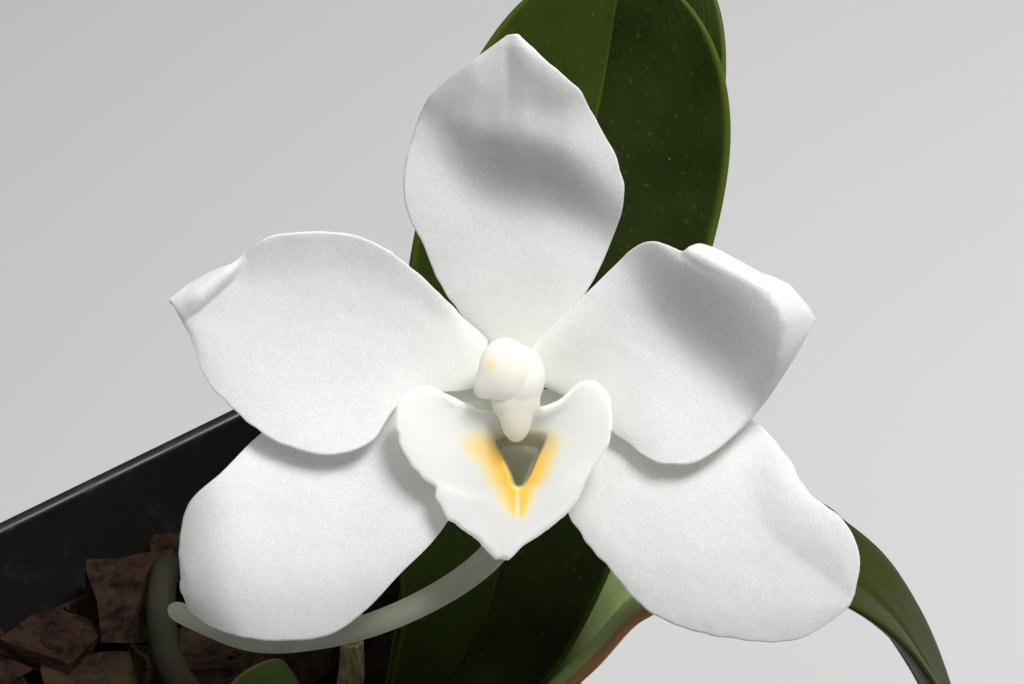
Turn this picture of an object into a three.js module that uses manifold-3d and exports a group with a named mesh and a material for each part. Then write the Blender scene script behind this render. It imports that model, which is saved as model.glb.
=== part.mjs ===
import * as THREE from 'three';
import { mergeVertices } from 'three/addons/utils/BufferGeometryUtils.js';
import Module from 'manifold-3d';

// A small white orchid in a square plastic pot of bark, in millimetres, +Z up.
// The origin is the middle of the pot's underside. The flower faces the front left, tipped up.

const wasm = await Module();
wasm.setup();
const { smoothstep } = THREE.MathUtils;

// Pot
const POT_HEIGHT = 58;
const POT_TOP_HALF = 31;
const POT_BASE_HALF = 23.5;
const POT_CORNER = 7;
const POT_WALL = 1.4;
const POT_FLOOR = 1.8;
const RIM_HEIGHT = 8;
const RIM_STEP = 0.9;
const DRAIN_RADIUS = 3;
const DRAIN_REACH = 13;

// Bark
const BARK_TOP = 49.4;
const BARK_SWELL = 0.8;
const CHIP_ROWS = 7;
const CHIP_SPACING = 7.7;
const CHIP_LONG = 9.5;
const CHIP_TILT = 0.9;
const CLEARANCE = 0.3;

// Flower place and view: it faces a viewer at the front left
const FLOWER = new THREE.Vector3(30.5, -12, 88);
const FLOWER_TURN = THREE.MathUtils.degToRad(-23.5);
const FLOWER_TIP = THREE.MathUtils.degToRad(90 - 42);
const FLOWER_ROLL = THREE.MathUtils.degToRad(-10);
const TEPAL_THICKNESS = 0.7;

// Stem, stalk, roots and leaves
const STEM_FOOT = new THREE.Vector3(12.3, -9.6, 45);
const STEM_HEAD = new THREE.Vector3(15, -9.4, 62);
const STEM_RADIUS = 2.3;
const STALK_RADIUS = 0.95;
const OVARY_RADIUS = 1.0;
const ROOT_RADIUS = 1.35;
const LEAF_THICKNESS = 1.1;
const LEAF_CROWDING = 0.6;
const LEAF_NECK = 0.09;
const LEAF_NOTCH = 0.9;

const colours = {
  pot: new THREE.MeshStandardMaterial({ color: 0x4c4a47, roughness: 0.5 }),
  bark: new THREE.MeshStandardMaterial({ color: 0x6b4631, roughness: 0.9 }),
  stem: new THREE.MeshStandardMaterial({ color: 0xa79a6c, roughness: 0.7 }),
  root: new THREE.MeshStandardMaterial({ color: 0xaeb29a, roughness: 0.75 }),
  leaf: new THREE.MeshStandardMaterial({ color: 0x4f7a2b, roughness: 0.45 }),
  youngLeaf: new THREE.MeshStandardMaterial({ color: 0x8fb04a, roughness: 0.45 }),
  petal: new THREE.MeshStandardMaterial({ color: 0xf3f2ee, roughness: 0.55 }),
  lip: new THREE.MeshStandardMaterial({ color: 0xf4efdd, roughness: 0.5 }),
  column: new THREE.MeshStandardMaterial({ color: 0xf2ead2, roughness: 0.45 }),
};

// Smooth curve through a list of points
function smooth(points) {
  return new THREE.CatmullRomCurve3(points.map((p) => new THREE.Vector3(p[0], p[1], p[2] ?? 0)), false, 'centripetal');
}

// Soft bump, 1 at its centre and 0 far from it
function bump(distance, width) {
  return Math.exp(-((distance / width) ** 2));
}

// Height that starts to climb, one for one, where the distance turns positive
function bend(distance, width) {
  return distance > 20 * width ? distance : width * Math.log(1 + Math.exp(distance / width));
}

// Closed sheet over a grid: at(u, v) is its middle surface, u from 0 to 1 and v from -1 to 1
function sheet(rows, columns, at, thickness) {
  const grid = [];
  for (let i = 0; i <= rows; i++) {
    for (let j = 0; j <= columns; j++) grid.push(at(i / rows, (2 * j) / columns - 1));
  }
  const cell = (i, j) => i * (columns + 1) + j;
  const clamp = THREE.MathUtils.clamp;
  const front = [];
  const back = [];
  for (let i = 0; i <= rows; i++) {
    for (let j = 0; j <= columns; j++) {
      const along = grid[cell(clamp(i + 1, 0, rows), j)].clone().sub(grid[cell(clamp(i - 1, 0, rows), j)]);
      const across = grid[cell(i, clamp(j + 1, 0, columns))].clone().sub(grid[cell(i, clamp(j - 1, 0, columns))]);
      const normal = along.cross(across).normalize().multiplyScalar(thickness / 2);
      front.push(...grid[cell(i, j)].clone().add(normal).toArray());
      back.push(...grid[cell(i, j)].clone().sub(normal).toArray());
    }
  }
  const count = grid.length;
  const faces = [];
  for (let i = 0; i < rows; i++) {
    for (let j = 0; j < columns; j++) {
      const [a, b, c, d] = [cell(i, j), cell(i + 1, j), cell(i + 1, j + 1), cell(i, j + 1)];
      faces.push(a, b, d, b, c, d);
      faces.push(count + a, count + d, count + b, count + b, count + d, count + c);
    }
  }
  const edge = [];
  for (let i = 0; i < rows; i++) edge.push(cell(i, 0));
  for (let j = 0; j < columns; j++) edge.push(cell(rows, j));
  for (let i = rows; i > 0; i--) edge.push(cell(i, columns));
  for (let j = columns; j > 0; j--) edge.push(cell(0, j));
  edge.forEach((p, k) => {
    const q = edge[(k + 1) % edge.length];
    faces.push(p, count + p, count + q, p, count + q, q);
  });
  return solidFrom([...front, ...back], faces);
}

function solidFrom(positions, faces) {
  const geometry = new THREE.BufferGeometry();
  geometry.setAttribute('position', new THREE.Float32BufferAttribute(positions, 3));
  geometry.setIndex(faces);
  geometry.computeVertexNormals();
  return geometry;
}

// Closed solid through a stack of rings with equal point counts, with flat ends
function loft(rings) {
  const sides = rings[0].length;
  const positions = rings.flat().flatMap((p) => p.toArray());
  const faces = [];
  for (let r = 0; r + 1 < rings.length; r++) {
    for (let s = 0; s < sides; s++) {
      const [a, b] = [r * sides + s, r * sides + ((s + 1) % sides)];
      faces.push(a, b, b + sides, a, b + sides, a + sides);
    }
  }
  const last = (rings.length - 1) * sides;
  for (const [start, turned] of [[0, true], [last, false]]) {
    const middle = rings[start / sides].reduce((sum, p) => sum.add(p), new THREE.Vector3()).divideScalar(sides);
    const centre = positions.length / 3;
    positions.push(...middle.toArray());
    for (let s = 0; s < sides; s++) {
      const [a, b] = [start + s, start + ((s + 1) % sides)];
      faces.push(centre, ...(turned ? [b, a] : [a, b]));
    }
  }
  return solidFrom(positions, faces);
}

// Round bar along a curve whose radius changes with u
function taperedBar(curve, radiusAt, sides, steps) {
  const frames = curve.computeFrenetFrames(steps, false);
  const rings = [];
  for (let i = 0; i <= steps; i++) {
    const centre = curve.getPointAt(i / steps);
    const ring = [];
    for (let s = 0; s < sides; s++) {
      const angle = (2 * Math.PI * s) / sides;
      const offset = frames.normals[i].clone().multiplyScalar(Math.cos(angle));
      offset.addScaledVector(frames.binormals[i], Math.sin(angle)).multiplyScalar(radiusAt(i / steps));
      ring.push(centre.clone().add(offset));
    }
    rings.push(ring);
  }
  return loft(rings);
}

function toManifold(geometry) {
  const bare = geometry.clone();
  bare.deleteAttribute('normal');
  bare.deleteAttribute('uv');
  const merged = mergeVertices(bare, 1e-4);
  const mesh = new wasm.Mesh({
    numProp: 3,
    vertProperties: new Float32Array(merged.attributes.position.array),
    triVerts: new Uint32Array(merged.index.array),
  });
  return new wasm.Manifold(mesh);
}

function fromManifold(solid) {
  const mesh = solid.getMesh();
  return solidFrom(Array.from(mesh.vertProperties), Array.from(mesh.triVerts));
}

// Seeded random numbers from 0 to 1
function randomFrom(seed) {
  let state = seed;
  return () => {
    state = (state * 1664525 + 1013904223) % 4294967296;
    return state / 4294967296;
  };
}

// Pot: thin-walled tapered square tub with a stepped rim, rounded corners and drain holes
function roundedSquare(half, corner, z) {
  const arcSteps = 4;
  const ring = [];
  for (let quarter = 0; quarter < 4; quarter++) {
    const turn = (quarter * Math.PI) / 2;
    for (let s = 0; s <= arcSteps; s++) {
      const angle = turn + (s / arcSteps) * (Math.PI / 2);
      const centre = new THREE.Vector2(half - corner, half - corner).rotateAround(new THREE.Vector2(), turn);
      ring.push(new THREE.Vector3(centre.x + corner * Math.cos(angle), centre.y + corner * Math.sin(angle), z));
    }
  }
  return ring;
}

function potHalfAt(z) {
  const shoulder = POT_HEIGHT - RIM_HEIGHT;
  return THREE.MathUtils.lerp(POT_BASE_HALF, POT_TOP_HALF - RIM_STEP, Math.min(z, shoulder) / shoulder);
}

function potGeometry() {
  const shoulder = POT_HEIGHT - RIM_HEIGHT;
  const outside = [
    roundedSquare(POT_BASE_HALF, POT_CORNER, 0),
    roundedSquare(potHalfAt(shoulder), POT_CORNER, shoulder),
    roundedSquare(POT_TOP_HALF, POT_CORNER, shoulder),
    roundedSquare(POT_TOP_HALF, POT_CORNER, POT_HEIGHT),
  ];
  const inner = (z) => potHalfAt(z) - POT_WALL;
  const innerCorner = POT_CORNER - POT_WALL;
  const inside = [
    roundedSquare(inner(POT_FLOOR), innerCorner, POT_FLOOR),
    roundedSquare(inner(shoulder), innerCorner, shoulder),
    roundedSquare(POT_TOP_HALF - POT_WALL, innerCorner, shoulder + RIM_STEP),
    roundedSquare(POT_TOP_HALF - POT_WALL, innerCorner, POT_HEIGHT + 1),
  ];
  let pot = toManifold(loft(outside)).subtract(toManifold(loft(inside)));
  for (let hole = 0; hole < 8; hole++) {
    const angle = (hole * Math.PI) / 4;
    const reach = hole % 2 ? DRAIN_REACH * Math.SQRT2 : DRAIN_REACH;
    const drain = new THREE.CylinderGeometry(DRAIN_RADIUS, DRAIN_RADIUS, POT_FLOOR * 4, 10);
    drain.rotateX(Math.PI / 2).translate(reach * Math.cos(angle), reach * Math.sin(angle), 0);
    pot = pot.subtract(toManifold(drain));
  }
  return fromManifold(pot);
}

// Stem: short upright stem wrapped in old leaf sheaths, which show as low steps
const stemLine = smooth([
  STEM_FOOT.toArray(),
  STEM_FOOT.clone().lerp(STEM_HEAD, 0.5).add(new THREE.Vector3(-0.4, 0, 0)).toArray(),
  STEM_HEAD.toArray(),
]);

function stemRadius(u) {
  const sheathStep = 0.16 * Math.sin(2 * Math.PI * 5 * u);
  return STEM_RADIUS * (1 - 0.35 * u ** 3) + sheathStep;
}

// Roots: thick pale roots that leave the stem, arch over the bark and dive into it
const rootLines = [
  [[11, -6.4, 51.6], [8, -1, 54.2], [6.5, 8, 54], [8.2, 16, 53.2], [11.6, 22.6, 52.6], [13.4, 25.2, 48], [13.6, 25.4, 44]],
  [[9.1, -9.9, 51.8], [4, -10.8, 54.6], [-5, -10, 54.4], [-13, -6.4, 52.6], [-16.6, -4.6, 48], [-17, -4.4, 43]],
  [[11.4, -12.9, 51.6], [10.6, -17, 54.2], [8.4, -22, 53.4], [6.4, -25.4, 49], [6, -26, 44]],
  [[15, -12.5, 51.2], [18, -16.2, 53.6], [21.8, -20, 52.6], [24, -22.6, 48], [24.2, -23, 44]],
];

function rootBar(points, radius) {
  const section = new THREE.Shape().absarc(0, 0, radius, 0, 2 * Math.PI);
  const options = { steps: 4 * points.length, curveSegments: 4, bevelEnabled: false, extrudePath: smooth(points) };
  return new THREE.ExtrudeGeometry(section, options);
}

// Bark: filling of the pot with loose chips over its top, open where the stem and roots go in
function barkGeometry() {
  const random = randomFrom(41);
  const inner = (z) => potHalfAt(z) - POT_WALL - CLEARANCE;
  const corner = POT_CORNER - POT_WALL;
  const filling = [
    roundedSquare(inner(POT_FLOOR + CLEARANCE), corner, POT_FLOOR + CLEARANCE),
    roundedSquare(inner(BARK_TOP), corner, BARK_TOP),
  ];
  let bark = toManifold(loft(filling));
  const rowStart = -((CHIP_ROWS - 1) / 2) * CHIP_SPACING;
  const limit = new THREE.Vector2();
  for (let row = 0; row < CHIP_ROWS; row++) {
    for (let column = 0; column < CHIP_ROWS; column++) {
      const chip = new THREE.BoxGeometry(CHIP_LONG * (0.7 + 0.5 * random()), 6 + 2 * random(), 3.4 + random(), 2, 1, 1);
      const place = chip.attributes.position;
      const shear = random() - 0.5;
      for (let k = 0; k < place.count; k++) {
        const x = place.getX(k);
        const y = place.getY(k);
        place.setXYZ(k, x + 0.5 * shear * y, y * (1 - 0.055 * Math.abs(x + shear)), place.getZ(k) * (1 - 0.03 * x * shear));
      }
      const tilt = new THREE.Euler(CHIP_TILT * (random() - 0.5), CHIP_TILT * (random() - 0.5), 2 * Math.PI * random());
      chip.applyMatrix4(new THREE.Matrix4().makeRotationFromEuler(tilt));
      limit.set(rowStart + column * CHIP_SPACING + 2 * random() - 1, rowStart + row * CHIP_SPACING + 2 * random() - 1);
      chip.computeBoundingBox();
      const reach = chip.boundingBox.max;
      const bound = inner(BARK_TOP);
      const x = THREE.MathUtils.clamp(limit.x, reach.x - bound, bound - reach.x);
      const y = THREE.MathUtils.clamp(limit.y, reach.y - bound, bound - reach.y);
      chip.translate(x, y, BARK_TOP + BARK_SWELL * (random() * 2 - 0.6));
      bark = bark.add(toManifold(chip));
    }
  }
  const stemHole = taperedBar(stemLine, () => STEM_RADIUS + 0.6, 12, 6);
  bark = bark.subtract(toManifold(stemHole));
  for (const points of rootLines) bark = bark.subtract(toManifold(rootBar(points, ROOT_RADIUS + CLEARANCE)));
  const pieces = bark.decompose().sort((a, b) => b.volume() - a.volume());
  return fromManifold(pieces[0]);
}

// Leaves: fleshy blades, folded up a little along the midrib, with a notched round tip
function leafGeometry({ spine, width, across, fold, fullest, swell = 1.1 }) {
  const curve = smooth(spine);
  const hint = new THREE.Vector3(...across);
  const at = (step, v) => {
    const u = step + LEAF_CROWDING * step * (1 - step);
    const along = curve.getTangentAt(u);
    const side = hint.clone().addScaledVector(along, -along.dot(hint)).normalize();
    const lift = side.clone().cross(along).normalize();
    const rise = u < fullest ? Math.sin((Math.PI / 2) * (u / fullest)) ** swell : 1;
    const fall = u > fullest ? Math.sqrt(1 - 0.985 * ((u - fullest) / (1 - fullest)) ** 2.6) : 1;
    const half = (width / 2) * (LEAF_NECK + (1 - LEAF_NECK) * rise) * fall;
    const notch = -LEAF_NOTCH * bump(v, 0.4) * bump(1 - u, 0.05);
    const point = curve.getPointAt(u).addScaledVector(along, notch);
    return point.addScaledVector(side, half * v).addScaledVector(lift, fold * half * (Math.abs(v) ** 1.5 - 0.4));
  };
  return sheet(16, 8, at, LEAF_THICKNESS);
}

const leaves = [
  {
    name: 'leaf_back',
    material: colours.leaf,
    spine: [[17, -9.5, 58.8], [20, -10.6, 60.8], [25, -10.3, 64.8], [33.9, -4.3, 75.4], [41.7, 0.7, 86.5],
      [47.9, 3.6, 95.1], [53.2, 6.8, 104.2]],
    width: 22,
    across: [0.73, -0.59, -0.27],
    fold: 0.2,
    fullest: 0.66,
    swell: 0.62,
  },
  {
    name: 'leaf_right',
    material: colours.youngLeaf,
    spine: [[17, -12.1, 53.8], [24, -13.8, 58.2], [31.2, -14.9, 62.7], [36.6, -14.8, 65.8], [44.2, -18.3, 69],
      [48.2, -23.1, 68], [51, -25.9, 64.5], [52.9, -28.1, 59], [54.2, -29.4, 52.5], [54.7, -30.3, 46]],
    width: 13.6,
    across: [-0.36, -0.8, 0.2],
    fold: 0.2,
    fullest: 0.62,
  },
  {
    name: 'leaf_far',
    material: colours.leaf,
    spine: [[16.9, -6.4, 54.6], [26, -1.5, 59.5], [38.6, 4.6, 70], [52, 10.4, 83.9], [62.3, 14.7, 95.6]],
    width: 16.5,
    across: [0.66, -0.7, -0.24],
    fold: 0.22,
    fullest: 0.6,
  },
  {
    name: 'leaf_left',
    material: colours.youngLeaf,
    spine: [[11.4, -8.8, 58.4], [11.4, -9, 62], [10.4, -9.2, 65], [7.9, -9.2, 64.4], [4.7, -8.8, 61], [2.4, -7.8, 57.4]],
    width: 10,
    across: [-0.2, 0.9, 0.14],
    fold: 0.28,
    fullest: 0.55,
  },
  {
    name: 'leaf_front',
    material: colours.leaf,
    spine: [[13.9, -12.6, 56.6], [14.8, -18, 60.6], [15.6, -26, 63], [15.4, -35, 61], [14.6, -42.5, 54.5]],
    width: 16,
    across: [-0.95, -0.1, 0.1],
    fold: 0.28,
    fullest: 0.55,
  },
];

// Flower, in its own frame: X to its right, Y up its face, Z towards the viewer.
// Each tepal runs from its base at the column to its tip between a left, a middle and a right line.
function tepalGeometry({ left, middle, right, relief, rows = 14, columns = 8 }) {
  const [leftLine, middleLine, rightLine] = [left, middle, right].map(smooth);
  const at = (u, v) => {
    const point = leftLine.getPointAt(u).multiplyScalar((v * v - v) / 2);
    point.addScaledVector(middleLine.getPointAt(u), 1 - v * v);
    point.addScaledVector(rightLine.getPointAt(u), (v * v + v) / 2);
    point.z = relief(point.x, point.y, u, v);
    return point;
  };
  return sheet(rows, columns, at, TEPAL_THICKNESS);
}

// Distance of a point from the line through a and b, positive to its left
function sideOf(x, y, a, b) {
  const length = Math.hypot(b[0] - a[0], b[1] - a[1]);
  return ((b[0] - a[0]) * (y - a[1]) - (b[1] - a[1]) * (x - a[0])) / length;
}

const tepals = [
  {
    name: 'dorsal_sepal',
    left: [[-1.9, 3.1], [-3.1, 4.6], [-5.2, 7.3], [-6.8, 10.8], [-7.9, 13.2], [-8.1, 15.4], [-7.3, 18.8], [-6.1, 21.4],
      [-3.2, 23.8], [-0.6, 25.7]],
    middle: [[-0.3, 3.2], [-0.3, 8], [-0.2, 14], [-0.1, 20], [-0.1, 25.8]],
    right: [[1.3, 3.1], [2.9, 4.4], [5.3, 7.3], [6.9, 10.6], [7.9, 13.9], [7.5, 16.4], [6.2, 18.9], [4.7, 21.7],
      [2.9, 23.3], [0.3, 25.7]],
    relief: (x, y) => {
      const [right, left] = [Math.max(0, x), Math.max(0, -x)];
      const climb = bend(y - 13.7 - 0.075 * left ** 2 + 0.02 * right ** 2, 0.7);
      const crest = bend(y - 18.7 + 0.06 * right ** 2 + 0.02 * left ** 2, 0.4);
      const band = 0.6 * (1 - 0.35 * smoothstep(Math.abs(x), 3, 8));
      return -2.4 + 0.06 * (y - 4) + band * (climb - crest) + 0.28 * bend(y - 20, 0.4);
    },
  },
  {
    name: 'left_petal',
    left: [[-2.4, 0.2], [-4.4, -0.1], [-7.6, -0.3], [-9, -1.7], [-10.4, -3.7], [-13.4, -4.7], [-17.7, -3.5], [-20.6, -1.2],
      [-22.3, 0.6], [-23.4, 3.9], [-24.8, 5.9]],
    middle: [[-2.1, 1.9], [-6, 3.1], [-12, 3.6], [-18, 4.1], [-22, 5], [-25, 6.2]],
    right: [[-2, 3.6], [-3.9, 5.5], [-6.9, 8.3], [-9.8, 10.5], [-14.1, 11.4], [-18.4, 10.8], [-20, 9.6], [-22.8, 8.2],
      [-24.7, 6.7]],
    relief: (x, y) => {
      const bowl = 0.02 * (y - 3) ** 2 * smoothstep(-x, 3, 9);
      const edge = sideOf(x, y, [-23.8, 5.9], [-20.3, 8.7]);
      const roll = (0.9 * bend(edge + 0.6, 0.2) - 1.9 * bend(edge, 0.15)) * smoothstep(-x, 19, 20.8);
      return -0.9 + 0.18 * Math.max(0, -2.5 - x) + bowl + roll;
    },
  },
  {
    name: 'right_petal',
    left: [[1.2, 3.2], [2.8, 4.7], [4.7, 6.7], [7.4, 9.3], [9.8, 10.7], [12.1, 10.2], [14.6, 10.2], [17.8, 8.8],
      [20, 7.5], [21.5, 5.5]],
    middle: [[1.4, 1.7], [6, 2.6], [12, 2.9], [17, 3.6], [21.6, 5]],
    right: [[1.8, 0.3], [3.8, -0.5], [5.4, -1.7], [7.4, -3.3], [10.3, -5.2], [13.1, -5.2], [16.3, -2.9], [18.3, -0.6],
      [20.6, 3], [21.4, 4.5]],
    relief: (x, y) => {
      const bowl = 0.028 * (y - 1.5) ** 2 * smoothstep(x, 4, 12);
      const fold = x - 19.35 + (y > 4.8 ? 0.13 : 0.048) * (y - 4.8) ** 2;
      const climb = 0.6 * bend(x - 10.4 + 0.12 * Math.max(0, -y) ** 1.5, 1.3);
      return -0.9 + bowl + climb - 1.05 * bend(fold, 0.2);
    },
  },
  {
    name: 'left_lateral_sepal',
    left: [[-1.1, -1.5], [-1.9, -3.2], [-2.9, -5.6], [-4.2, -8.4], [-5.9, -10.9], [-8.3, -13.3], [-11, -16.1], [-13.6, -17.8],
      [-18.5, -18.1], [-21.4, -17.4], [-23.4, -16.1], [-24.1, -14.8]],
    middle: [[-1.5, -0.7], [-6, -4.4], [-12, -8.8], [-18, -12], [-24.2, -14.3]],
    right: [[-1.8, 0], [-5.4, 0.5], [-10, 0.6], [-15, -0.8], [-18.6, -3.3], [-21.2, -5.9], [-23.6, -8.2], [-24.3, -11.2],
      [-24.2, -13.9]],
    relief: (x, y) => {
      const lower = -0.32 * bend(-13.6 - y, 0.9);
      const side = -0.55 * bend(-sideOf(x, y, [-22.8, -7], [-21.4, -16.5]), 0.5);
      return -2.4 - 0.16 * (x + 2) - 0.12 * (y + 1) + lower + side;
    },
  },
  {
    name: 'right_lateral_sepal',
    left: [[1.3, 0], [5, 0.2], [10, 0.1], [14.5, -0.7], [17.6, -2.5], [19.9, -5.1], [21.2, -7.3], [24, -9.7],
      [25, -12.5], [24.6, -14.8]],
    middle: [[1.3, -0.8], [6, -4.6], [12, -8.6], [18.4, -12.2], [24.4, -15.3]],
    right: [[1.2, -1.6], [1.9, -4.6], [3, -7.2], [4.8, -10.5], [7, -13.1], [9.4, -15.8], [12.4, -17.3], [16.3, -18.1],
      [20.3, -18.1], [23, -16.7], [24.2, -15.7]],
    relief: (x, y) => {
      const down = -1 - y;
      const crease = sideOf(x, y, [18.1, -10.1], [24.6, -15.1]);
      const valley = 0.3 * (bend(crease, 0.2) - bend(crease - 3, 0.8)) * smoothstep(x, 16, 20);
      return -2.5 + 0.25 * down - 0.016 * Math.max(0, down - 3) ** 2 + valley;
    },
  },
];

// Lip: heart-shaped scoop with erect side lobes, grown together with the long hollow spur
const lipLines = {
  left: [[-4.6, -1], [-5.6, 0.1], [-7.2, 0.4], [-8.4, -0.5], [-8.7, -2.4], [-8.2, -4], [-7.2, -5.8], [-5.7, -7.5],
    [-4.7, -9.3], [-3, -10.6], [-1.4, -11.8]],
  middle: [[-0.6, -2.4], [-0.2, -3.6], [0.1, -5.2], [0.1, -7.2], [-0.2, -9.4], [-0.9, -12]],
  right: [[2.2, -1.3], [3.3, -0.6], [5, 0.6], [6.4, 0.1], [7, -1.6], [6.7, -4], [5.6, -6], [4.2, -8], [2.4, -9.7],
    [0.8, -10.8], [-0.5, -11.8]],
};
const LIP_FLOOR = 0.5;
const LEFT_LOBE_RISE = 2.2;
const RIGHT_LOBE_RISE = 1.4;
const SPUR_LINE = [[0.3, -5.1, 0.15], [0.3, -5.4, -0.9], [0.2, -6.4, -2.6], [0, -8.4, -4], [-1.1, -11.4, -4.9], [-3.4, -13.7, -5.3],
  [-8.3, -16.5, -5.6], [-13.6, -18.2, -5.6], [-19.2, -18.6, -5.4], [-23.6, -17, -5.2], [-25.6, -16, -5.2]];
const SPUR_START_RADIUS = 2.2;
const SPUR_RADIUS = 1.1;
const SPUR_TIP_RADIUS = 0.75;

// Mouth of the spur: a blunt triangle, and the levels, shares and middles of the funnel below it
const MOUTH = [[-1.25, -3.9], [-0.9, -3.45], [0.35, -3.3], [1.6, -3.45], [1.95, -3.9], [1.55, -5.2], [0.6, -6.9],
  [0.3, -7.15], [0, -6.9], [-0.85, -5.2]];
const MOUTH_CENTRE = [0.35, -4.7];
const FUNNEL = [[4, 1.15, 0.35, -4.6], [0.9, 1, 0.35, -4.7], [0.1, 0.85, 0.33, -4.9], [-1.5, 0.52, 0.3, -5.7],
  [-3.2, 0.25, 0.1, -7.3]];

function spurRadius(u) {
  const throat = (SPUR_START_RADIUS - SPUR_RADIUS) * bump(u, 0.06);
  const end = Math.sqrt(Math.max(0.06, 1 - Math.max(0, (u - 0.97) / 0.03) ** 2));
  return (throat + THREE.MathUtils.lerp(SPUR_RADIUS, SPUR_TIP_RADIUS, u)) * end;
}

function lipRelief(x, y, u, v) {
  const height = v < 0 ? LEFT_LOBE_RISE : RIGHT_LOBE_RISE;
  const lobe = height * Math.abs(v) ** 2.2 * (1 - 0.72 * smoothstep(u, 0.35, 0.95));
  return LIP_FLOOR + lobe + 0.9 * Math.max(0, u - 0.55);
}

function lipGeometry() {
  const blade = toManifold(tepalGeometry({ ...lipLines, relief: lipRelief, rows: 16, columns: 12 }));
  const spur = smooth(SPUR_LINE);
  const wall = toManifold(taperedBar(spur, spurRadius, 10, 26));
  const levels = FUNNEL.map(([z, share, x, y]) => MOUTH.map(([px, py]) => new THREE.Vector3(
    x + share * (px - MOUTH_CENTRE[0]), y + share * (py - MOUTH_CENTRE[1]), z)));
  const bore = toManifold(loft(levels));
  return fromManifold(blade.add(wall).subtract(bore));
}

// Anther cap: small round hood on the front of the column
const CAP_CENTRE = new THREE.Vector3(-0.75, 1.6, 2.5);
const CAP_RADII = [2, 2.2, 1.5];
const CAP_BRIM = 0.55;

function capSolid(grow) {
  const cap = new THREE.SphereGeometry(1, 16, 12);
  const place = cap.attributes.position;
  const point = new THREE.Vector3();
  for (let k = 0; k < place.count; k++) {
    point.fromBufferAttribute(place, k);
    const brim = CAP_BRIM * Math.max(0, -0.8 * point.x - 0.6 * point.y) ** 5;
    point.multiply(new THREE.Vector3(...CAP_RADII.map((radius) => radius + grow)));
    place.setXYZ(k, point.x - 0.8 * brim, point.y - 0.6 * brim, point.z);
  }
  return cap.translate(...CAP_CENTRE.toArray());
}

// Column: stout round post that carries the cap, with a tongue that hangs over the spur mouth
function columnGeometry() {
  const profile = [[0, -3.2], [0.9, -3.2], [1.15, -2.7], [1.2, -0.4], [1.5, 0.4], [1.5, 1.4], [0, 1.6]];
  const post = new THREE.LatheGeometry(profile.map(([r, z]) => new THREE.Vector2(r, z)), 14);
  post.rotateX(Math.PI / 2).translate(-0.35, 1.6, 0);
  const head = new THREE.SphereGeometry(1, 16, 10).scale(2.05, 2, 1.35).translate(0.25, 1, 1.75);
  const foot = new THREE.SphereGeometry(1, 12, 8).scale(1.3, 2.45, 0.6).translate(0.12, -1.3, 2.2);
  const body = toManifold(post).add(toManifold(head)).add(toManifold(foot));
  return fromManifold(body.subtract(toManifold(capSolid(CLEARANCE))));
}

// Ovary: slender stalked seed case that bends down behind the flower
const OVARY_LINE = [[-0.4, 1.4, -3.6], [-0.9, 0.6, -5.6], [-4, -3, -8], [-9.3, -9, -9.6], [-12, -15, -12.6],
  [-12.4, -19, -15.6]];

const flower = new THREE.Group();
flower.position.copy(FLOWER);
flower.rotation.z = FLOWER_TURN;
const tipped = new THREE.Group();
tipped.rotation.x = FLOWER_TIP;
const face = new THREE.Group();
face.rotation.z = FLOWER_ROLL;
flower.add(tipped);
tipped.add(face);

function piece(name, geometry, material, parent) {
  const mesh = new THREE.Mesh(geometry, material);
  mesh.name = name;
  parent.add(mesh);
}

for (const tepal of tepals) piece(tepal.name, tepalGeometry(tepal), colours.petal, face);
piece('lip', lipGeometry(), colours.lip, face);
piece('column', columnGeometry(), colours.column, face);
piece('anther_cap', capSolid(0), colours.column, face);
const ovaryRadius = (u) => OVARY_RADIUS * (1 - 0.3 * u);
piece('ovary', taperedBar(smooth(OVARY_LINE), ovaryRadius, 10, 14), colours.column, face);

const plant = new THREE.Group();
plant.name = 'potted_orchid';
plant.add(flower);
plant.updateMatrixWorld(true);

// Flower stalk: from the side of the stem up to the lower end of the ovary
const ovaryEnd = face.localToWorld(new THREE.Vector3(...OVARY_LINE.at(-1)));
const ovaryBefore = face.localToWorld(new THREE.Vector3(...OVARY_LINE.at(-2)));
const stalkHead = ovaryEnd.clone().addScaledVector(ovaryEnd.clone().sub(ovaryBefore).normalize(), CLEARANCE);
const stalkLine = smooth([[13.6, -5.9, 54.4], [14.6, -5.2, 57.6], stalkHead.clone().add(new THREE.Vector3(-0.6, 0, -3)).toArray(),
  stalkHead.toArray()]);
piece('flower_stalk', taperedBar(stalkLine, () => STALK_RADIUS, 10, 8), colours.stem, plant);

piece('pot', potGeometry(), colours.pot, plant);
piece('bark', barkGeometry(), colours.bark, plant);
piece('stem', taperedBar(stemLine, stemRadius, 12, 15), colours.stem, plant);
rootLines.forEach((points, k) => piece(`root_${k + 1}`, rootBar(points, ROOT_RADIUS), colours.root, plant));
for (const leaf of leaves) piece(leaf.name, leafGeometry(leaf), leaf.material, plant);

export default plant;
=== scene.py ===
import math

import bpy
import numpy as np
from mathutils import Euler, Matrix, Vector, noise


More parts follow.
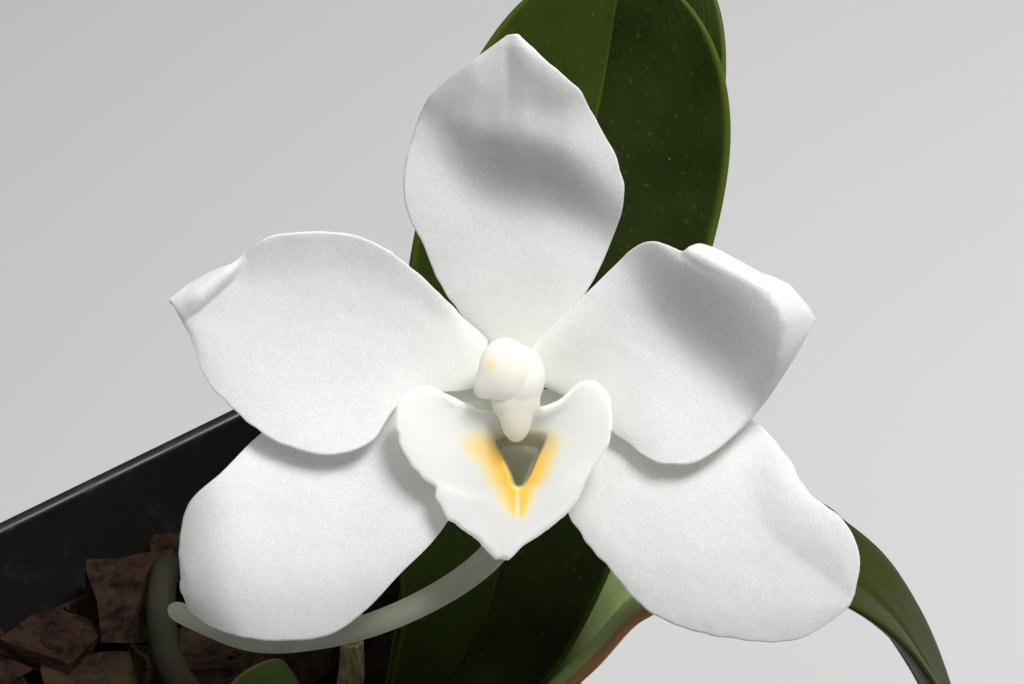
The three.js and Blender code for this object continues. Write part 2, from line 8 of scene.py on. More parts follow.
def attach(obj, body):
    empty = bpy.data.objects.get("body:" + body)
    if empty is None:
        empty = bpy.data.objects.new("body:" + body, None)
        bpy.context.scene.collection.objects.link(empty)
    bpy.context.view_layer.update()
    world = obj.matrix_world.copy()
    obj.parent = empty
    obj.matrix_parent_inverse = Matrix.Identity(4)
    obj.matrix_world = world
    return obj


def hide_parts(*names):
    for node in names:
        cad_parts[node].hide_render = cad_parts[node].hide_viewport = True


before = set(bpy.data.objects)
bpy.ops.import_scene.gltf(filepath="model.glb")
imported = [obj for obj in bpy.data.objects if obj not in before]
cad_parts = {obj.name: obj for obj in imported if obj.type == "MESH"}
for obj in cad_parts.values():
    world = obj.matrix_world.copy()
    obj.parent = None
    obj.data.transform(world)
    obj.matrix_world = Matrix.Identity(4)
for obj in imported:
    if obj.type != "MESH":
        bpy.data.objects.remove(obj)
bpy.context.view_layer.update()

# Pot: a square starter pot of thin dark grey polypropylene, injection moulded in one piece, its grey painted
# near black as painted shade.
# Its sides taper for stacking, a stepped rim stiffens the mouth, and the floor has drain holes.
MM = 0.001
POT_HEIGHT = 58.0
POT_TOP_HALF = 31.0
POT_BASE_HALF = 23.5
POT_CORNER = 7.0
CORNER_STEPS = 10
POT_WALL = 1.4
POT_FLOOR = 1.8
RIM_HEIGHT = 8.0
RIM_STEP = 0.9
SHOULDER = POT_HEIGHT - RIM_HEIGHT
POT_EDGE = 0.35
DRAIN_RADIUS = 3.0
DRAIN_REACH = 13.0
DRAINS = 8
DRAIN_SIDES = 24
DRAIN_CUT = (-3, 5)
# Painted shade: the plastic and its dust are painted much darker than they are, as if little light reached
# the pot.
POT_GREY_IN_SHADE = (0.009, 0.0088, 0.008, 1)
POT_DUST_IN_SHADE = (0.03, 0.027, 0.022, 1)


class Reading:
    """A socket of a node tree, ready for plain arithmetic."""

    def __init__(self, nodes, socket):
        self.nodes = nodes
        self.socket = socket

    def maths(self, operation, first, second=0.0):
        return self.nodes.node("ShaderNodeMath", {0: first, 1: second}, operation=operation)

    def __add__(self, other):
        return self.maths("ADD", self, other)

    __radd__ = __add__

    def __sub__(self, other):
        return self.maths("SUBTRACT", self, other)

    def __rsub__(self, other):
        return self.maths("SUBTRACT", other, self)

    def __mul__(self, other):
        return self.maths("MULTIPLY", self, other)

    __rmul__ = __mul__

    def __abs__(self):
        return self.maths("ABSOLUTE", self)


class Nodes:
    """A node tree that takes new nodes with their settings and with values or readings."""

    def feed(self, socket, value):
        if isinstance(value, Reading):
            self.tree.links.new(value.socket, socket)
        else:
            socket.default_value = value

    def node(self, kind, values=None, output=0, **settings):
        made = self.tree.nodes.new(kind)
        for name, value in settings.items():
            setattr(made, name, value)
        for name, value in (values or {}).items():
            self.feed(made.inputs[name], value)
        return Reading(self, made.outputs[output])


class Finish(Nodes):
    """One surface finish: a Principled shader with its nodes."""

    def __init__(self, name, constants):
        self.material = bpy.data.materials.new(name)
        self.material.use_nodes = True
        self.tree = self.material.node_tree
        self.shader = self.tree.nodes["Principled BSDF"]
        self.set(constants)

    def set(self, values):
        for name, value in values.items():
            self.feed(self.shader.inputs[name], value)

    def place(self):
        return self.node("ShaderNodeTexCoord", output="Object")

    def stretched(self, scale, turn=(0, 0, 0)):
        return self.node("ShaderNodeMapping", {"Vector": self.place(), "Rotation": turn, "Scale": scale})

    def stored(self, name):
        return self.node("ShaderNodeAttribute", output="Fac", attribute_name=name)

    def grain(self, scale, detail=3.0, vector=None, roughness=0.5):
        values = {"Vector": vector or self.place(), "Scale": scale, "Detail": detail, "Roughness": roughness}
        return self.node("ShaderNodeTexNoise", values)

    def steps(self, reading, low, high, bottom=0.0, top=1.0):
        values = {"Value": reading, "From Min": low, "From Max": high, "To Min": bottom, "To Max": top}
        return self.node("ShaderNodeMapRange", values, interpolation_type="SMOOTHSTEP")

    def mix(self, share, first, second, blend="MIX"):
        values = {0: share, 6: first, 7: second}
        return self.node("ShaderNodeMix", values, 2, data_type="RGBA", blend_type=blend)

    def ramp(self, share, stops):
        """Colours along a share, from the first stop to the last."""
        made = self.node("ShaderNodeValToRGB", {"Fac": share})
        marks = made.socket.node.color_ramp.elements
        marks[0].position, marks[0].color = stops[0]
        marks[1].position, marks[1].color = stops[-1]
        for place, colour in stops[1:-1]:
            marks.new(place).color = colour
        return made

    def relief(self, height, distance, strength=1.0, under=None):
        values = {"Height": height, "Distance": distance, "Strength": strength}
        if under:
            values["Normal"] = under
        return self.node("ShaderNodeBump", values)

    def let_through(self, share, colour):
        """Let a share of the light pass through the piece, as slender living tissue does."""
        glow = self.node("ShaderNodeBsdfTranslucent", {"Color": colour})
        surface = Reading(self, self.shader.outputs[0])
        both = self.node("ShaderNodeMixShader", {0: share, 1: surface, 2: glow})
        self.feed(self.tree.nodes["Material Output"].inputs["Surface"], both)


def rounded_square(half, corner, z):
    ring = []
    for quarter in range(4):
        for step in range(CORNER_STEPS + 1):
            angle = (quarter + step / CORNER_STEPS) * math.pi / 2
            turn = quarter * math.pi / 2
            reach = half - corner
            x = reach * math.cos(turn) - reach * math.sin(turn) + corner * math.cos(angle)
            y = reach * math.sin(turn) + reach * math.cos(turn) + corner * math.sin(angle)
            ring.append((x, y, z))
    return ring


def oval(centre, radii, z, sides):
    """A level ring of points round a centre."""
    turns = [2 * math.pi * k / sides for k in range(sides)]
    return [(centre[0] + radii[0] * math.cos(t), centre[1] + radii[1] * math.sin(t), z) for t in turns]


def make_piece(name, points, faces, finish, smooth=True):
    """A mesh piece from points in millimetres in the frame of the whole object."""
    mesh = bpy.data.meshes.new(name)
    mesh.from_pydata([tuple(MM * c for c in p) for p in points], [], [tuple(f) for f in faces])
    mesh.materials.append(finish.material)
    mesh.polygons.foreach_set("use_smooth", [smooth] * len(mesh.polygons))
    mesh.validate()
    piece = bpy.data.objects.new(name, mesh)
    bpy.context.scene.collection.objects.link(piece)
    return piece


def stack(rings):
    """Faces of a closed skin through rings of equal point counts, with a fan at both ends."""
    sides = len(rings[0])
    points = [p for ring in rings for p in ring]
    faces = []
    for row in range(len(rings) - 1):
        for side in range(sides):
            a, b = row * sides + side, row * sides + (side + 1) % sides
            faces.append((a, b, b + sides, a + sides))
    for row, turned in ((0, True), (len(rings) - 1, False)):
        centre = len(points)
        points.append(tuple(np.mean(rings[row], axis=0)))
        for side in range(sides):
            a, b = row * sides + side, row * sides + (side + 1) % sides
            faces.append((centre, b, a) if turned else (centre, a, b))
    return points, faces


def pot_half(z):
    return POT_BASE_HALF + (POT_TOP_HALF - RIM_STEP - POT_BASE_HALF) * min(z, SHOULDER) / SHOULDER


def apply_modifiers(piece):
    """Turn a piece with its modifiers into a plain mesh."""
    bpy.context.view_layer.update()
    seen = piece.evaluated_get(bpy.context.evaluated_depsgraph_get())
    mesh = bpy.data.meshes.new_from_object(seen)
    piece.modifiers.clear()
    piece.data = mesh


inside_top = POT_TOP_HALF - POT_WALL
inner_corner = POT_CORNER - POT_WALL
pot_outlines = [
    (POT_BASE_HALF - POT_EDGE, POT_CORNER - POT_EDGE, 0),
    (POT_BASE_HALF, POT_CORNER, POT_EDGE),
    (pot_half(SHOULDER), POT_CORNER, SHOULDER),
    (POT_TOP_HALF - POT_EDGE, POT_CORNER, SHOULDER),
    (POT_TOP_HALF, POT_CORNER, SHOULDER + POT_EDGE),
    (POT_TOP_HALF, POT_CORNER, POT_HEIGHT - POT_EDGE),
    (POT_TOP_HALF - POT_EDGE, POT_CORNER - POT_EDGE, POT_HEIGHT),
    (inside_top + POT_EDGE, inner_corner + POT_EDGE, POT_HEIGHT),
    (inside_top, inner_corner, POT_HEIGHT - POT_EDGE),
    (inside_top, inner_corner, SHOULDER + RIM_STEP),
    (pot_half(SHOULDER) - POT_WALL, inner_corner, SHOULDER),
    (pot_half(POT_FLOOR) - POT_WALL, inner_corner, POT_FLOOR),
]
pot_finish = Finish("pot_plastic", {"Roughness": 0.42, "IOR": 1.49})
scuffs = pot_finish.grain(900.0, 4.0)
dust = pot_finish.steps(pot_finish.grain(300.0, 6.0, roughness=0.7), 0.5, 0.85)
pot_finish.set({
    "Base Color": pot_finish.mix(dust * 0.55, POT_GREY_IN_SHADE, POT_DUST_IN_SHADE),
    "Roughness": 0.36 + 0.3 * dust + 0.12 * scuffs,
    "Normal": pot_finish.relief(scuffs, 0.00006, 0.35),
})
pot_rings = [rounded_square(*outline) for outline in pot_outlines]
pot = make_piece("pot_tub", *stack(pot_rings), pot_finish, smooth=False)
drains = []
for hole in range(DRAINS):
    angle = 2 * math.pi * hole / DRAINS
    reach = DRAIN_REACH * (math.sqrt(2) if hole % 2 else 1)
    centre = (reach * math.cos(angle), reach * math.sin(angle))
    walls = [oval(centre, (DRAIN_RADIUS, DRAIN_RADIUS), z, DRAIN_SIDES) for z in DRAIN_CUT]
    drains.append(make_piece("drain", *stack(walls), pot_finish))
for drain in drains:
    cut = pot.modifiers.new("cut", "BOOLEAN")
    cut.object = drain
    cut.solver = "EXACT"
apply_modifiers(pot)
for drain in drains:
    bpy.data.objects.remove(drain)
pot.modifiers.new("soft_edges", "WEIGHTED_NORMAL")
pot.data.shade_smooth()
apply_modifiers(pot)
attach(pot, "root")
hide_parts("pot")

# Bark: graded conifer bark chips, tipped loose into the pot and settled by watering.
# The crumbs and dust lie in the gaps, and the larger chips lie flat or tilted on top.
BARK_TOP = 49.4
BARK_SWELL = 0.8
FILLING_DROP = 0.7
CRUMB_DROP = 0.6
CRUMB_EDGE = 1.5
CHIP_ROWS = 7
CHIP_SPACING = 7.7
CHIP_LONG = 9.5
CHIP_TILT = 0.9
CLEARANCE = 0.3
CHIP_ROUGHNESS = 0.00052
RIDGE_SCALE = 480.0
CRUMB_SIZE = 0.0021
CRUMB_DENSITY = 500000.0
CHIP_SEED = 41
CRUMB_SEED = 7
# Painted shade: the cork, chip and dust colours are painted far darker than bark is, as if little light
# reached the top of the pot.
CORK_IN_SHADE = (0.036, 0.024, 0.011, 1)
CHIP_PALE_IN_SHADE = (0.025, 0.0125, 0.0065, 1)
CHIP_DARK_IN_SHADE = (0.007, 0.004, 0.0025, 1)
DUST_PALE_IN_SHADE = (0.022, 0.012, 0.007, 1)
DUST_DARK_IN_SHADE = (0.008, 0.0045, 0.003, 1)


def drawn_numbers(seed):
    state = seed
    while True:
        state = (state * 1664525 + 1013904223) % 4294967296
        yield state / 4294967296


def chip_layout():
    """Place, turn and size of each large chip, drawn in the order in which they were laid."""
    drawn = drawn_numbers(CHIP_SEED)
    laid = []
    start = -((CHIP_ROWS - 1) / 2) * CHIP_SPACING
    bound = pot_half(BARK_TOP) - POT_WALL - CLEARANCE
    for row in range(CHIP_ROWS):
        for column in range(CHIP_ROWS):
            size = (CHIP_LONG * (0.7 + 0.5 * next(drawn)), 6 + 2 * next(drawn), 3.4 + next(drawn))
            shear = next(drawn) - 0.5
            tilt = (CHIP_TILT * (next(drawn) - 0.5), CHIP_TILT * (next(drawn) - 0.5),
                    2 * math.pi * next(drawn))
            turn = Euler((tilt[0], 0, 0)).to_matrix() @ Euler((0, tilt[1], 0)).to_matrix()
            turn = turn @ Euler((0, 0, tilt[2])).to_matrix()
            wanted = (start + column * CHIP_SPACING + 2 * next(drawn) - 1,
                      start + row * CHIP_SPACING + 2 * next(drawn) - 1)
            reach = [sum(abs(turn[axis][k]) * size[k] / 2 for k in range(3)) for axis in range(2)]
            x, y = (max(-(bound - r), min(bound - r, w)) for w, r in zip(wanted, reach))
            z = BARK_TOP + BARK_SWELL * (2 * next(drawn) - 0.6)
            laid.append(((x, y, z), turn.to_euler("XYZ"), size, shear))
    return laid


class MeshTree(Nodes):
    """Geometry Nodes that take a mesh and named sizes, and give a mesh with a finish."""

    def __init__(self, name, inputs):
        self.tree = bpy.data.node_groups.new(name, "GeometryNodeTree")
        sockets = self.tree.interface
        sockets.new_socket("Geometry", in_out="INPUT", socket_type="NodeSocketGeometry")
        for label, (kind, value) in inputs.items():
            sockets.new_socket(label, in_out="INPUT", socket_type=kind).default_value = value
        sockets.new_socket("Geometry", in_out="OUTPUT", socket_type="NodeSocketGeometry")
        entry = self.tree.nodes.new("NodeGroupInput")
        self.given = {socket.name: Reading(self, socket) for socket in entry.outputs}

    def scatter(self, points, body, turn, size):
        """Copies of a body on points, each with its own turn and size, as one mesh."""
        rotation = self.node("FunctionNodeEulerToRotation", {0: turn})
        laid = self.node("GeometryNodeInstanceOnPoints", {
            "Points": points, "Instance": body, "Rotation": rotation, "Scale": size})
        return self.node("GeometryNodeRealizeInstances", {"Geometry": laid})

    def close(self, geometry, finish):
        """Give the geometry its finish and lead it out of the tree."""
        dressed = self.node("GeometryNodeSetMaterial", {"Geometry": geometry, "Material": finish.material})
        self.feed(self.tree.nodes.new("NodeGroupOutput").inputs["Geometry"], dressed)

    def run(self, piece, sizes):
        """Run the tree on a piece, its sizes set by socket identifier, and keep the plain mesh."""
        modifier = piece.modifiers.new(self.tree.name, "NODES")
        modifier.node_group = self.tree
        for item in self.tree.interface.items_tree:
            if item.in_out == "INPUT" and item.name in sizes:
                modifier[item.identifier] = sizes[item.name]
        apply_modifiers(piece)


def chip_tree(finish):
    """Rough slabs on points that carry a turn and a size."""
    tree = MeshTree("bark_chips", {
        "Chip Roughness": ("NodeSocketFloat", 0.0006),
        "Ridge Scale": ("NodeSocketFloat", 420.0),
    })
    slab = tree.node("GeometryNodeMeshCube", {
        "Size": (1, 1, 1), "Vertices X": 7, "Vertices Y": 6, "Vertices Z": 4})
    turn, size = (tree.node("GeometryNodeInputNamedAttribute", {"Name": name}, "Attribute",
                            data_type="FLOAT_VECTOR") for name in ("turn", "size"))
    slabs = tree.scatter(tree.given["Geometry"], slab, turn, size)
    finer = tree.node("GeometryNodeSubdivideMesh", {"Mesh": slabs, "Level": 1})
    coarse = tree.node("ShaderNodeTexNoise", {"Scale": 170.0, "Detail": 1.0}, "Color")
    ridges = tree.node("ShaderNodeTexNoise", {"Scale": tree.given["Ridge Scale"], "Detail": 3.0}, "Color")
    both = tree.node("ShaderNodeVectorMath", {0: coarse, 1: (3.2, 3.2, 3.2), 2: ridges},
                     operation="MULTIPLY_ADD")
    centred = tree.node("ShaderNodeVectorMath", {0: both, 1: (2.1, 2.1, 2.1)}, operation="SUBTRACT")
    rough = tree.node("ShaderNodeVectorMath", {0: centred, "Scale": tree.given["Chip Roughness"]},
                      operation="SCALE")
    moved = tree.node("GeometryNodeSetPosition", {"Geometry": finer, "Offset": rough})
    faceted = tree.node("GeometryNodeSetShadeSmooth", {"Geometry": moved, "Shade Smooth": False})
    tree.close(faceted, finish)
    return tree


def bark_finish(name, pale, dark):
    finish = Finish(name, {"Roughness": 0.85, "Specular IOR Level": 0.1})
    layers = finish.grain(520.0, 6.0, finish.stretched((1.0, 1.0, 3.5)), 0.7)
    patches = finish.grain(95.0, 3.0)
    colour = finish.mix(finish.steps(layers, 0.36, 0.64), dark, pale)
    corky = finish.mix(finish.steps(patches, 0.56, 0.68), colour, CORK_IN_SHADE)
    # Painted shade: the low parts of the layers, the crevices, are multiplied darker as if shaded.
    crevice_shade = finish.steps(layers, 0.3, 0.5, 0.35, 1.0)
    shade = finish.mix(1.0, corky, crevice_shade, "MULTIPLY")
    finish.set({
        "Base Color": shade,
        "Roughness": finish.steps(layers, 0.3, 0.7, 0.95, 0.68),
        "Normal": finish.relief(layers, 0.0004, 0.9),
    })
    return finish


def tag_points(piece, name, values):
    """Store a vector on each point of a piece."""
    layer = piece.data.attributes.new(name, "FLOAT_VECTOR", "POINT")
    layer.data.foreach_set("vector", np.array(values, dtype=float).ravel())


chip_finish = bark_finish("bark_chip", CHIP_PALE_IN_SHADE, CHIP_DARK_IN_SHADE)
chips_laid = chip_layout()
chips = make_piece("bark_chips", [p for p, _, _, _ in chips_laid], [], chip_finish)
tag_points(chips, "turn", [tuple(turn) for _, turn, _, _ in chips_laid])
tag_points(chips, "size", [tuple(MM * c for c in size) for _, _, size, _ in chips_laid])
chip_tree(chip_finish).run(chips, {"Chip Roughness": CHIP_ROUGHNESS, "Ridge Scale": RIDGE_SCALE})
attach(chips, "root")
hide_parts("bark")

inner = [rounded_square(pot_half(z) - POT_WALL - CLEARANCE, inner_corner, z)
         for z in (POT_FLOOR + CLEARANCE, BARK_TOP - FILLING_DROP)]
filling_finish = bark_finish("bark_dust", DUST_PALE_IN_SHADE, DUST_DARK_IN_SHADE)
filling = make_piece("bark_filling", *stack(inner), filling_finish, smooth=False)
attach(filling, "root")


def crumb_tree(finish):
    """Small angular crumbs scattered over a flat surface."""
    tree = MeshTree("bark_crumbs", {
        "Crumb Size": ("NodeSocketFloat", 0.0018),
        "Crumbs Per Square Metre": ("NodeSocketFloat", 60000.0),
        "Seed": ("NodeSocketInt", CRUMB_SEED),
    })
    points = tree.node("GeometryNodeDistributePointsOnFaces", {
        "Mesh": tree.given["Geometry"], "Density": tree.given["Crumbs Per Square Metre"],
        "Seed": tree.given["Seed"]})
    ball = tree.node("GeometryNodeMeshIcoSphere", {"Radius": 1.0, "Subdivisions": 1})
    turn = tree.node("FunctionNodeRandomValue", {1: (6.28, 6.28, 6.28), "Seed": 3},
                     data_type="FLOAT_VECTOR")
    spread = tree.node("FunctionNodeRandomValue", {0: (0.35, 0.25, 0.12), 1: (1.0, 0.7, 0.4), "Seed": 11},
                       data_type="FLOAT_VECTOR")
    size = tree.node("ShaderNodeVectorMath", {0: spread, "Scale": tree.given["Crumb Size"]},
                     operation="SCALE")
    tree.close(tree.scatter(points, ball, turn, size), finish)
    return tree


def flat_patch(name, half, z, finish):
    corners = [(-half, -half, z), (half, -half, z), (half, half, z), (-half, half, z)]
    return make_piece(name, corners, [(0, 1, 2, 3)], finish)


crumb_half = pot_half(BARK_TOP) - POT_WALL - CRUMB_EDGE
crumbs = flat_patch("bark_crumbs", crumb_half, BARK_TOP - CRUMB_DROP, filling_finish)
crumb_tree(chip_finish).run(crumbs, {
    "Crumb Size": CRUMB_SIZE, "Crumbs Per Square Metre": CRUMB_DENSITY, "Seed": CRUMB_SEED})
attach(crumbs, "root")

# Roots: thick living roots in a spongy skin, brown where it is dry and olive where it is damp, all painted
# very dark as painted shade.
# They grow from the foot of the stem, arch over the chips and dive between them.
ROOT_RADIUS = 1.35
ROOT_MESH = (20, 90)
# Painted shade: the root colours are painted far darker than living root skin, as if the roots lay in shade.
ROOT_DRY_IN_SHADE = (0.022, 0.018, 0.011, 1)
ROOT_DAMP_IN_SHADE = (0.015, 0.016, 0.007, 1)
ROOT_STREAK_IN_SHADE = (0.02, 0.0145, 0.0085, 1)
ROOT_LINES = {
    "root_1": [(11, -6.4, 51.6), (8, -1, 54.2), (6.5, 8, 54), (8.2, 16, 53.2), (11.6, 22.6, 52.6),
               (13.4, 25.2, 48), (13.6, 25.4, 44)],
    "root_2": [(9.1, -9.9, 51.8), (4, -10.8, 54.6), (-5, -10, 54.4), (-13, -6.4, 52.6), (-16.6, -4.6, 48),
               (-17, -4.4, 43)],
    "root_3": [(11.4, -12.9, 51.6), (10.6, -17, 54.2), (8.4, -22, 53.4), (6.4, -25.4, 49), (6, -26, 44)],
    "root_4": [(15, -12.5, 51.2), (18, -16.2, 53.6), (21.8, -20, 52.6), (24, -22.6, 48), (24.2, -23, 44)],
}


class Line:
    """A smooth line through given points, read by its share of length."""

    def __init__(self, points):
        self.points = [np.array(tuple(p) + (0.0,) * (3 - len(p)), dtype=float) for p in points]
        given = self.points
        ends = [2 * given[0] - given[1]] + given + [2 * given[-1] - given[-2]]
        samples = []
        for k in range(len(given) - 1):
            samples.append(self.stretch(*ends[k:k + 4], np.linspace(0, 1, 40, endpoint=False)))
        samples.append(given[-1][None, :])
        self.samples = np.concatenate(samples)
        lengths = np.linalg.norm(np.diff(self.samples, axis=0), axis=1)
        self.travel = np.concatenate([[0.0], np.cumsum(lengths)])
        self.length = self.travel[-1]

    def stretch(self, before, start, end, after, t):
        pairs = ((before, start), (start, end), (end, after))
        gaps = [max(np.linalg.norm(b - a) ** 0.5, 1e-4) for a, b in pairs]
        leave = (start - before) / gaps[0] - (end - before) / (gaps[0] + gaps[1]) + (end - start) / gaps[1]
        arrive = (end - start) / gaps[1] - (after - start) / (gaps[1] + gaps[2]) + (after - end) / gaps[2]
        leave, arrive = leave * gaps[1], arrive * gaps[1]
        t = t[:, None]
        square = 3 * (end - start) - 2 * leave - arrive
        cube = 2 * (start - end) + leave + arrive
        return start + leave * t + square * t ** 2 + cube * t ** 3

    def at(self, share):
        wanted = np.clip(share, 0, 1) * self.length
        return np.stack([np.interp(wanted, self.travel, self.samples[:, k]) for k in range(3)], axis=-1)

    def heading(self, share):
        ahead = self.at(np.clip(share + 0.004, 0, 1)) - self.at(np.clip(share - 0.004, 0, 1))
        return ahead / np.linalg.norm(ahead, axis=-1, keepdims=True)


def bar(name, line, radius_at, mesh, finish):
    """A round bar along a line, its rings carried along it without twist."""
    sides, steps = mesh
    rings = []
    side = np.array((0.3, 0.2, 1.0))
    for share in np.linspace(0, 1, steps + 1):
        centre, ahead = line.at(share), line.heading(share)
        side = side - ahead * (side @ ahead)
        side = side / np.linalg.norm(side)
        other = np.cross(ahead, side)
        ring = []
        for k in range(sides):
            angle = 2 * math.pi * k / sides
            outward = math.cos(angle) * side + math.sin(angle) * other
            ring.append(tuple(centre + radius_at(share, angle) * outward))
        rings.append(ring)
    return make_piece(name, *stack(rings), finish)


root_finish = Finish("root_skin", {"Roughness": 0.7, "Specular IOR Level": 0.2, "Subsurface Weight": 0.08,
                                   "Subsurface Radius": (0.001, 0.0012, 0.0006)})
streaks = root_finish.grain(650.0, 5.0, roughness=0.65)
damp = root_finish.steps(root_finish.grain(120.0, 2.0), 0.45, 0.62)
root_colour = root_finish.mix(damp, ROOT_DRY_IN_SHADE, ROOT_DAMP_IN_SHADE)
root_finish.set({
    "Base Color": root_finish.mix(root_finish.steps(streaks, 0.55, 0.72) * 0.6, root_colour, ROOT_STREAK_IN_SHADE),
    "Normal": root_finish.relief(streaks, 0.00018, 0.6),
})
for name, points in ROOT_LINES.items():
    seed = len(name) + points[0][0]

    def root_radius(share, angle):
        swell = noise.noise(Vector((share * 9 + seed, math.cos(angle), math.sin(angle))))
        return ROOT_RADIUS * (0.96 + 0.08 * swell - 0.12 * share)

    root = bar(name + "_skin", Line(points), root_radius, ROOT_MESH, root_finish)
    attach(root, "root")
    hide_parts(name)

# Stem: a short upright stem, hidden in the dry papery sheaths of old leaves.
# Each sheath wraps the one above it, split and frayed at its upper edge.
STEM_FOOT = np.array((12.3, -9.6, 45.0))
STEM_HEAD = np.array((15.0, -9.4, 62.0))
STEM_RADIUS = 2.3
SHEATHS = 5
STEM_MESH = (40, 120)
FIBRE_DARK = (0.27, 0.19, 0.09, 1)
FIBRE_PALE = (0.5, 0.42, 0.24, 1)
SHEATH_BLOTCH = (0.13, 0.045, 0.03, 1)
stem_line = Line([STEM_FOOT, (STEM_FOOT + STEM_HEAD) / 2 + np.array((-0.4, 0, 0)), STEM_HEAD])


def stem_radius(share, angle):
    tooth = (SHEATHS * share + 0.35 * math.sin(angle)) % 1.0
    sheath = 0.3 * (tooth ** 2 - 0.35)
    frill = 0.08 * noise.noise(Vector((3 * math.cos(angle), 3 * math.sin(angle), 30 * share)))
    return STEM_RADIUS * (1 - 0.35 * share ** 3) + sheath + frill


sheath_finish = Finish("dry_sheath", {"Roughness": 0.62})
fibres = sheath_finish.grain(2600.0, 4.0, sheath_finish.stretched((1.0, 1.0, 0.12)))
blotches = sheath_finish.grain(260.0, 4.0)
sheath_colour = sheath_finish.mix(sheath_finish.steps(fibres, 0.35, 0.65), FIBRE_DARK, FIBRE_PALE)
sheath_finish.set({
    "Base Color": sheath_finish.mix(sheath_finish.steps(blotches, 0.56, 0.7), sheath_colour, SHEATH_BLOTCH),
    "Normal": sheath_finish.relief(fibres, 0.0001, 0.6),
})
stem = bar("stem_sheaths", stem_line, stem_radius, STEM_MESH, sheath_finish)
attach(stem, "root")
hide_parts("stem")

# Leaves: fleshy oval leaves in two ranks, each folded a little along its sunken midrib.
# They are leathery and waxy, with a thin pale margin and a notched tip.
LEAF_THICKNESS = 1.1
LEAF_MESH = (150, 60)
LEAF_SCRATCH = (0.4, 0.5, 0.25, 1)
LEAF_CROWDING = 0.6
LEAF_NECK = 0.09
LEAF_NOTCH = 0.9
LEAVES = {
    "leaf_back": {
        "spine": [(17, -9.5, 58.8), (20, -10.6, 60.8), (25, -10.3, 64.8), (33.9, -4.3, 75.4),
                  (41.7, 0.7, 86.5), (47.9, 3.6, 95.1), (53.2, 6.8, 104.2)],
        "width": 22, "across": (0.73, -0.59, -0.27), "fold": 0.2, "fullest": 0.66, "swell": 0.62,
        "slot": "leaf",
    },
    "leaf_right": {
        "spine": [(17, -12.1, 53.8), (24, -13.8, 58.2), (31.2, -14.9, 62.7), (36.6, -14.8, 65.8),
                  (44.2, -18.3, 69), (48.2, -23.1, 68), (51, -25.9, 64.5), (52.9, -28.1, 59),
                  (54.2, -29.4, 52.5), (54.7, -30.3, 46)],
        "width": 13.6, "across": (-0.36, -0.8, 0.2), "fold": 0.2, "fullest": 0.62, "swell": 1.1,
        "slot": "young_leaf",
    },
    "leaf_far": {
        "spine": [(16.9, -6.4, 54.6), (26, -1.5, 59.5), (38.6, 4.6, 70), (52, 10.4, 83.9),
                  (62.3, 14.7, 95.6)],
        "width": 16.5, "across": (0.66, -0.7, -0.24), "fold": 0.22, "fullest": 0.6, "swell": 1.1,
        "slot": "leaf",
    },
    "leaf_left": {
        "spine": [(11.4, -8.8, 58.4), (11.4, -9, 62), (10.4, -9.2, 65), (7.9, -9.2, 64.4), (4.7, -8.8, 61),
                  (2.4, -7.8, 57.4)],
        "width": 10, "across": (-0.2, 0.9, 0.14), "fold": 0.28, "fullest": 0.55, "swell": 1.1,
        "slot": "young_leaf",
    },
    "leaf_front": {
        "spine": [(13.9, -12.6, 56.6), (14.8, -18, 60.6), (15.6, -26, 63), (15.4, -35, 61),
                  (14.6, -42.5, 54.5)],
        "width": 16, "across": (-0.95, -0.1, 0.1), "fold": 0.28, "fullest": 0.55, "swell": 1.1,
        "slot": "leaf",
    },
}


def bump(distance, width):
    return np.exp(-((distance / width) ** 2))


def crinkle(x, y, scale, seed):
    """Soft random heights from -1 to 1 over two arrays of places."""
    flat = [noise.noise(Vector((a / scale, b / scale, seed))) for a, b in zip(np.ravel(x), np.ravel(y))]
    return np.array(flat).reshape(np.shape(x))


def store(piece, readings):
    """Store named values on the points of a piece."""
    for label, values in readings.items():
        layer = piece.data.attributes.new(label, "FLOAT", "POINT")
        layer.data.foreach_set("value", values)


def sheet(name, middle, thickness, finish, across_map, along_map, readings=None):
    """A closed blade from its middle surface, slimmer at the margin, with a UV map and named readings."""
    rows, columns = middle.shape[0], middle.shape[1]
    along = np.gradient(middle, axis=0)
    across = np.gradient(middle, axis=1)
    normal = np.cross(along, across)
    normal = normal / np.maximum(np.linalg.norm(normal, axis=2, keepdims=True), 1e-9)
    front = middle + normal * thickness[..., None] / 2
    back = middle - normal * thickness[..., None] / 2
    points = np.concatenate([front.reshape(-1, 3), back.reshape(-1, 3)])
    count = rows * columns
    index = np.arange(count).reshape(rows, columns)
    a, b, c, d = index[:-1, :-1], index[1:, :-1], index[1:, 1:], index[:-1, 1:]
    faces = np.stack([a, b, c, d], axis=-1).reshape(-1, 4).tolist()
    faces += (np.stack([a, d, c, b], axis=-1).reshape(-1, 4) + count).tolist()
    edge = list(index[:-1, 0]) + list(index[-1, :-1]) + list(index[:0:-1, -1]) + list(index[0, :0:-1])
    for k, p in enumerate(edge):
        q = edge[(k + 1) % len(edge)]
        faces.append([p, count + p, count + q, q])
    piece = make_piece(name, points, faces, finish)
    uv = piece.data.uv_layers.new(name="blade")
    flat_uv = np.stack([np.tile(across_map.ravel(), 2), np.tile(along_map.ravel(), 2)], axis=1)
    corners = np.array([loop.vertex_index for loop in piece.data.loops])
    uv.data.foreach_set("uv", flat_uv[corners].ravel())
    store(piece, {label: np.tile(values.ravel(), 2) for label, values in (readings or {}).items()})
    return piece


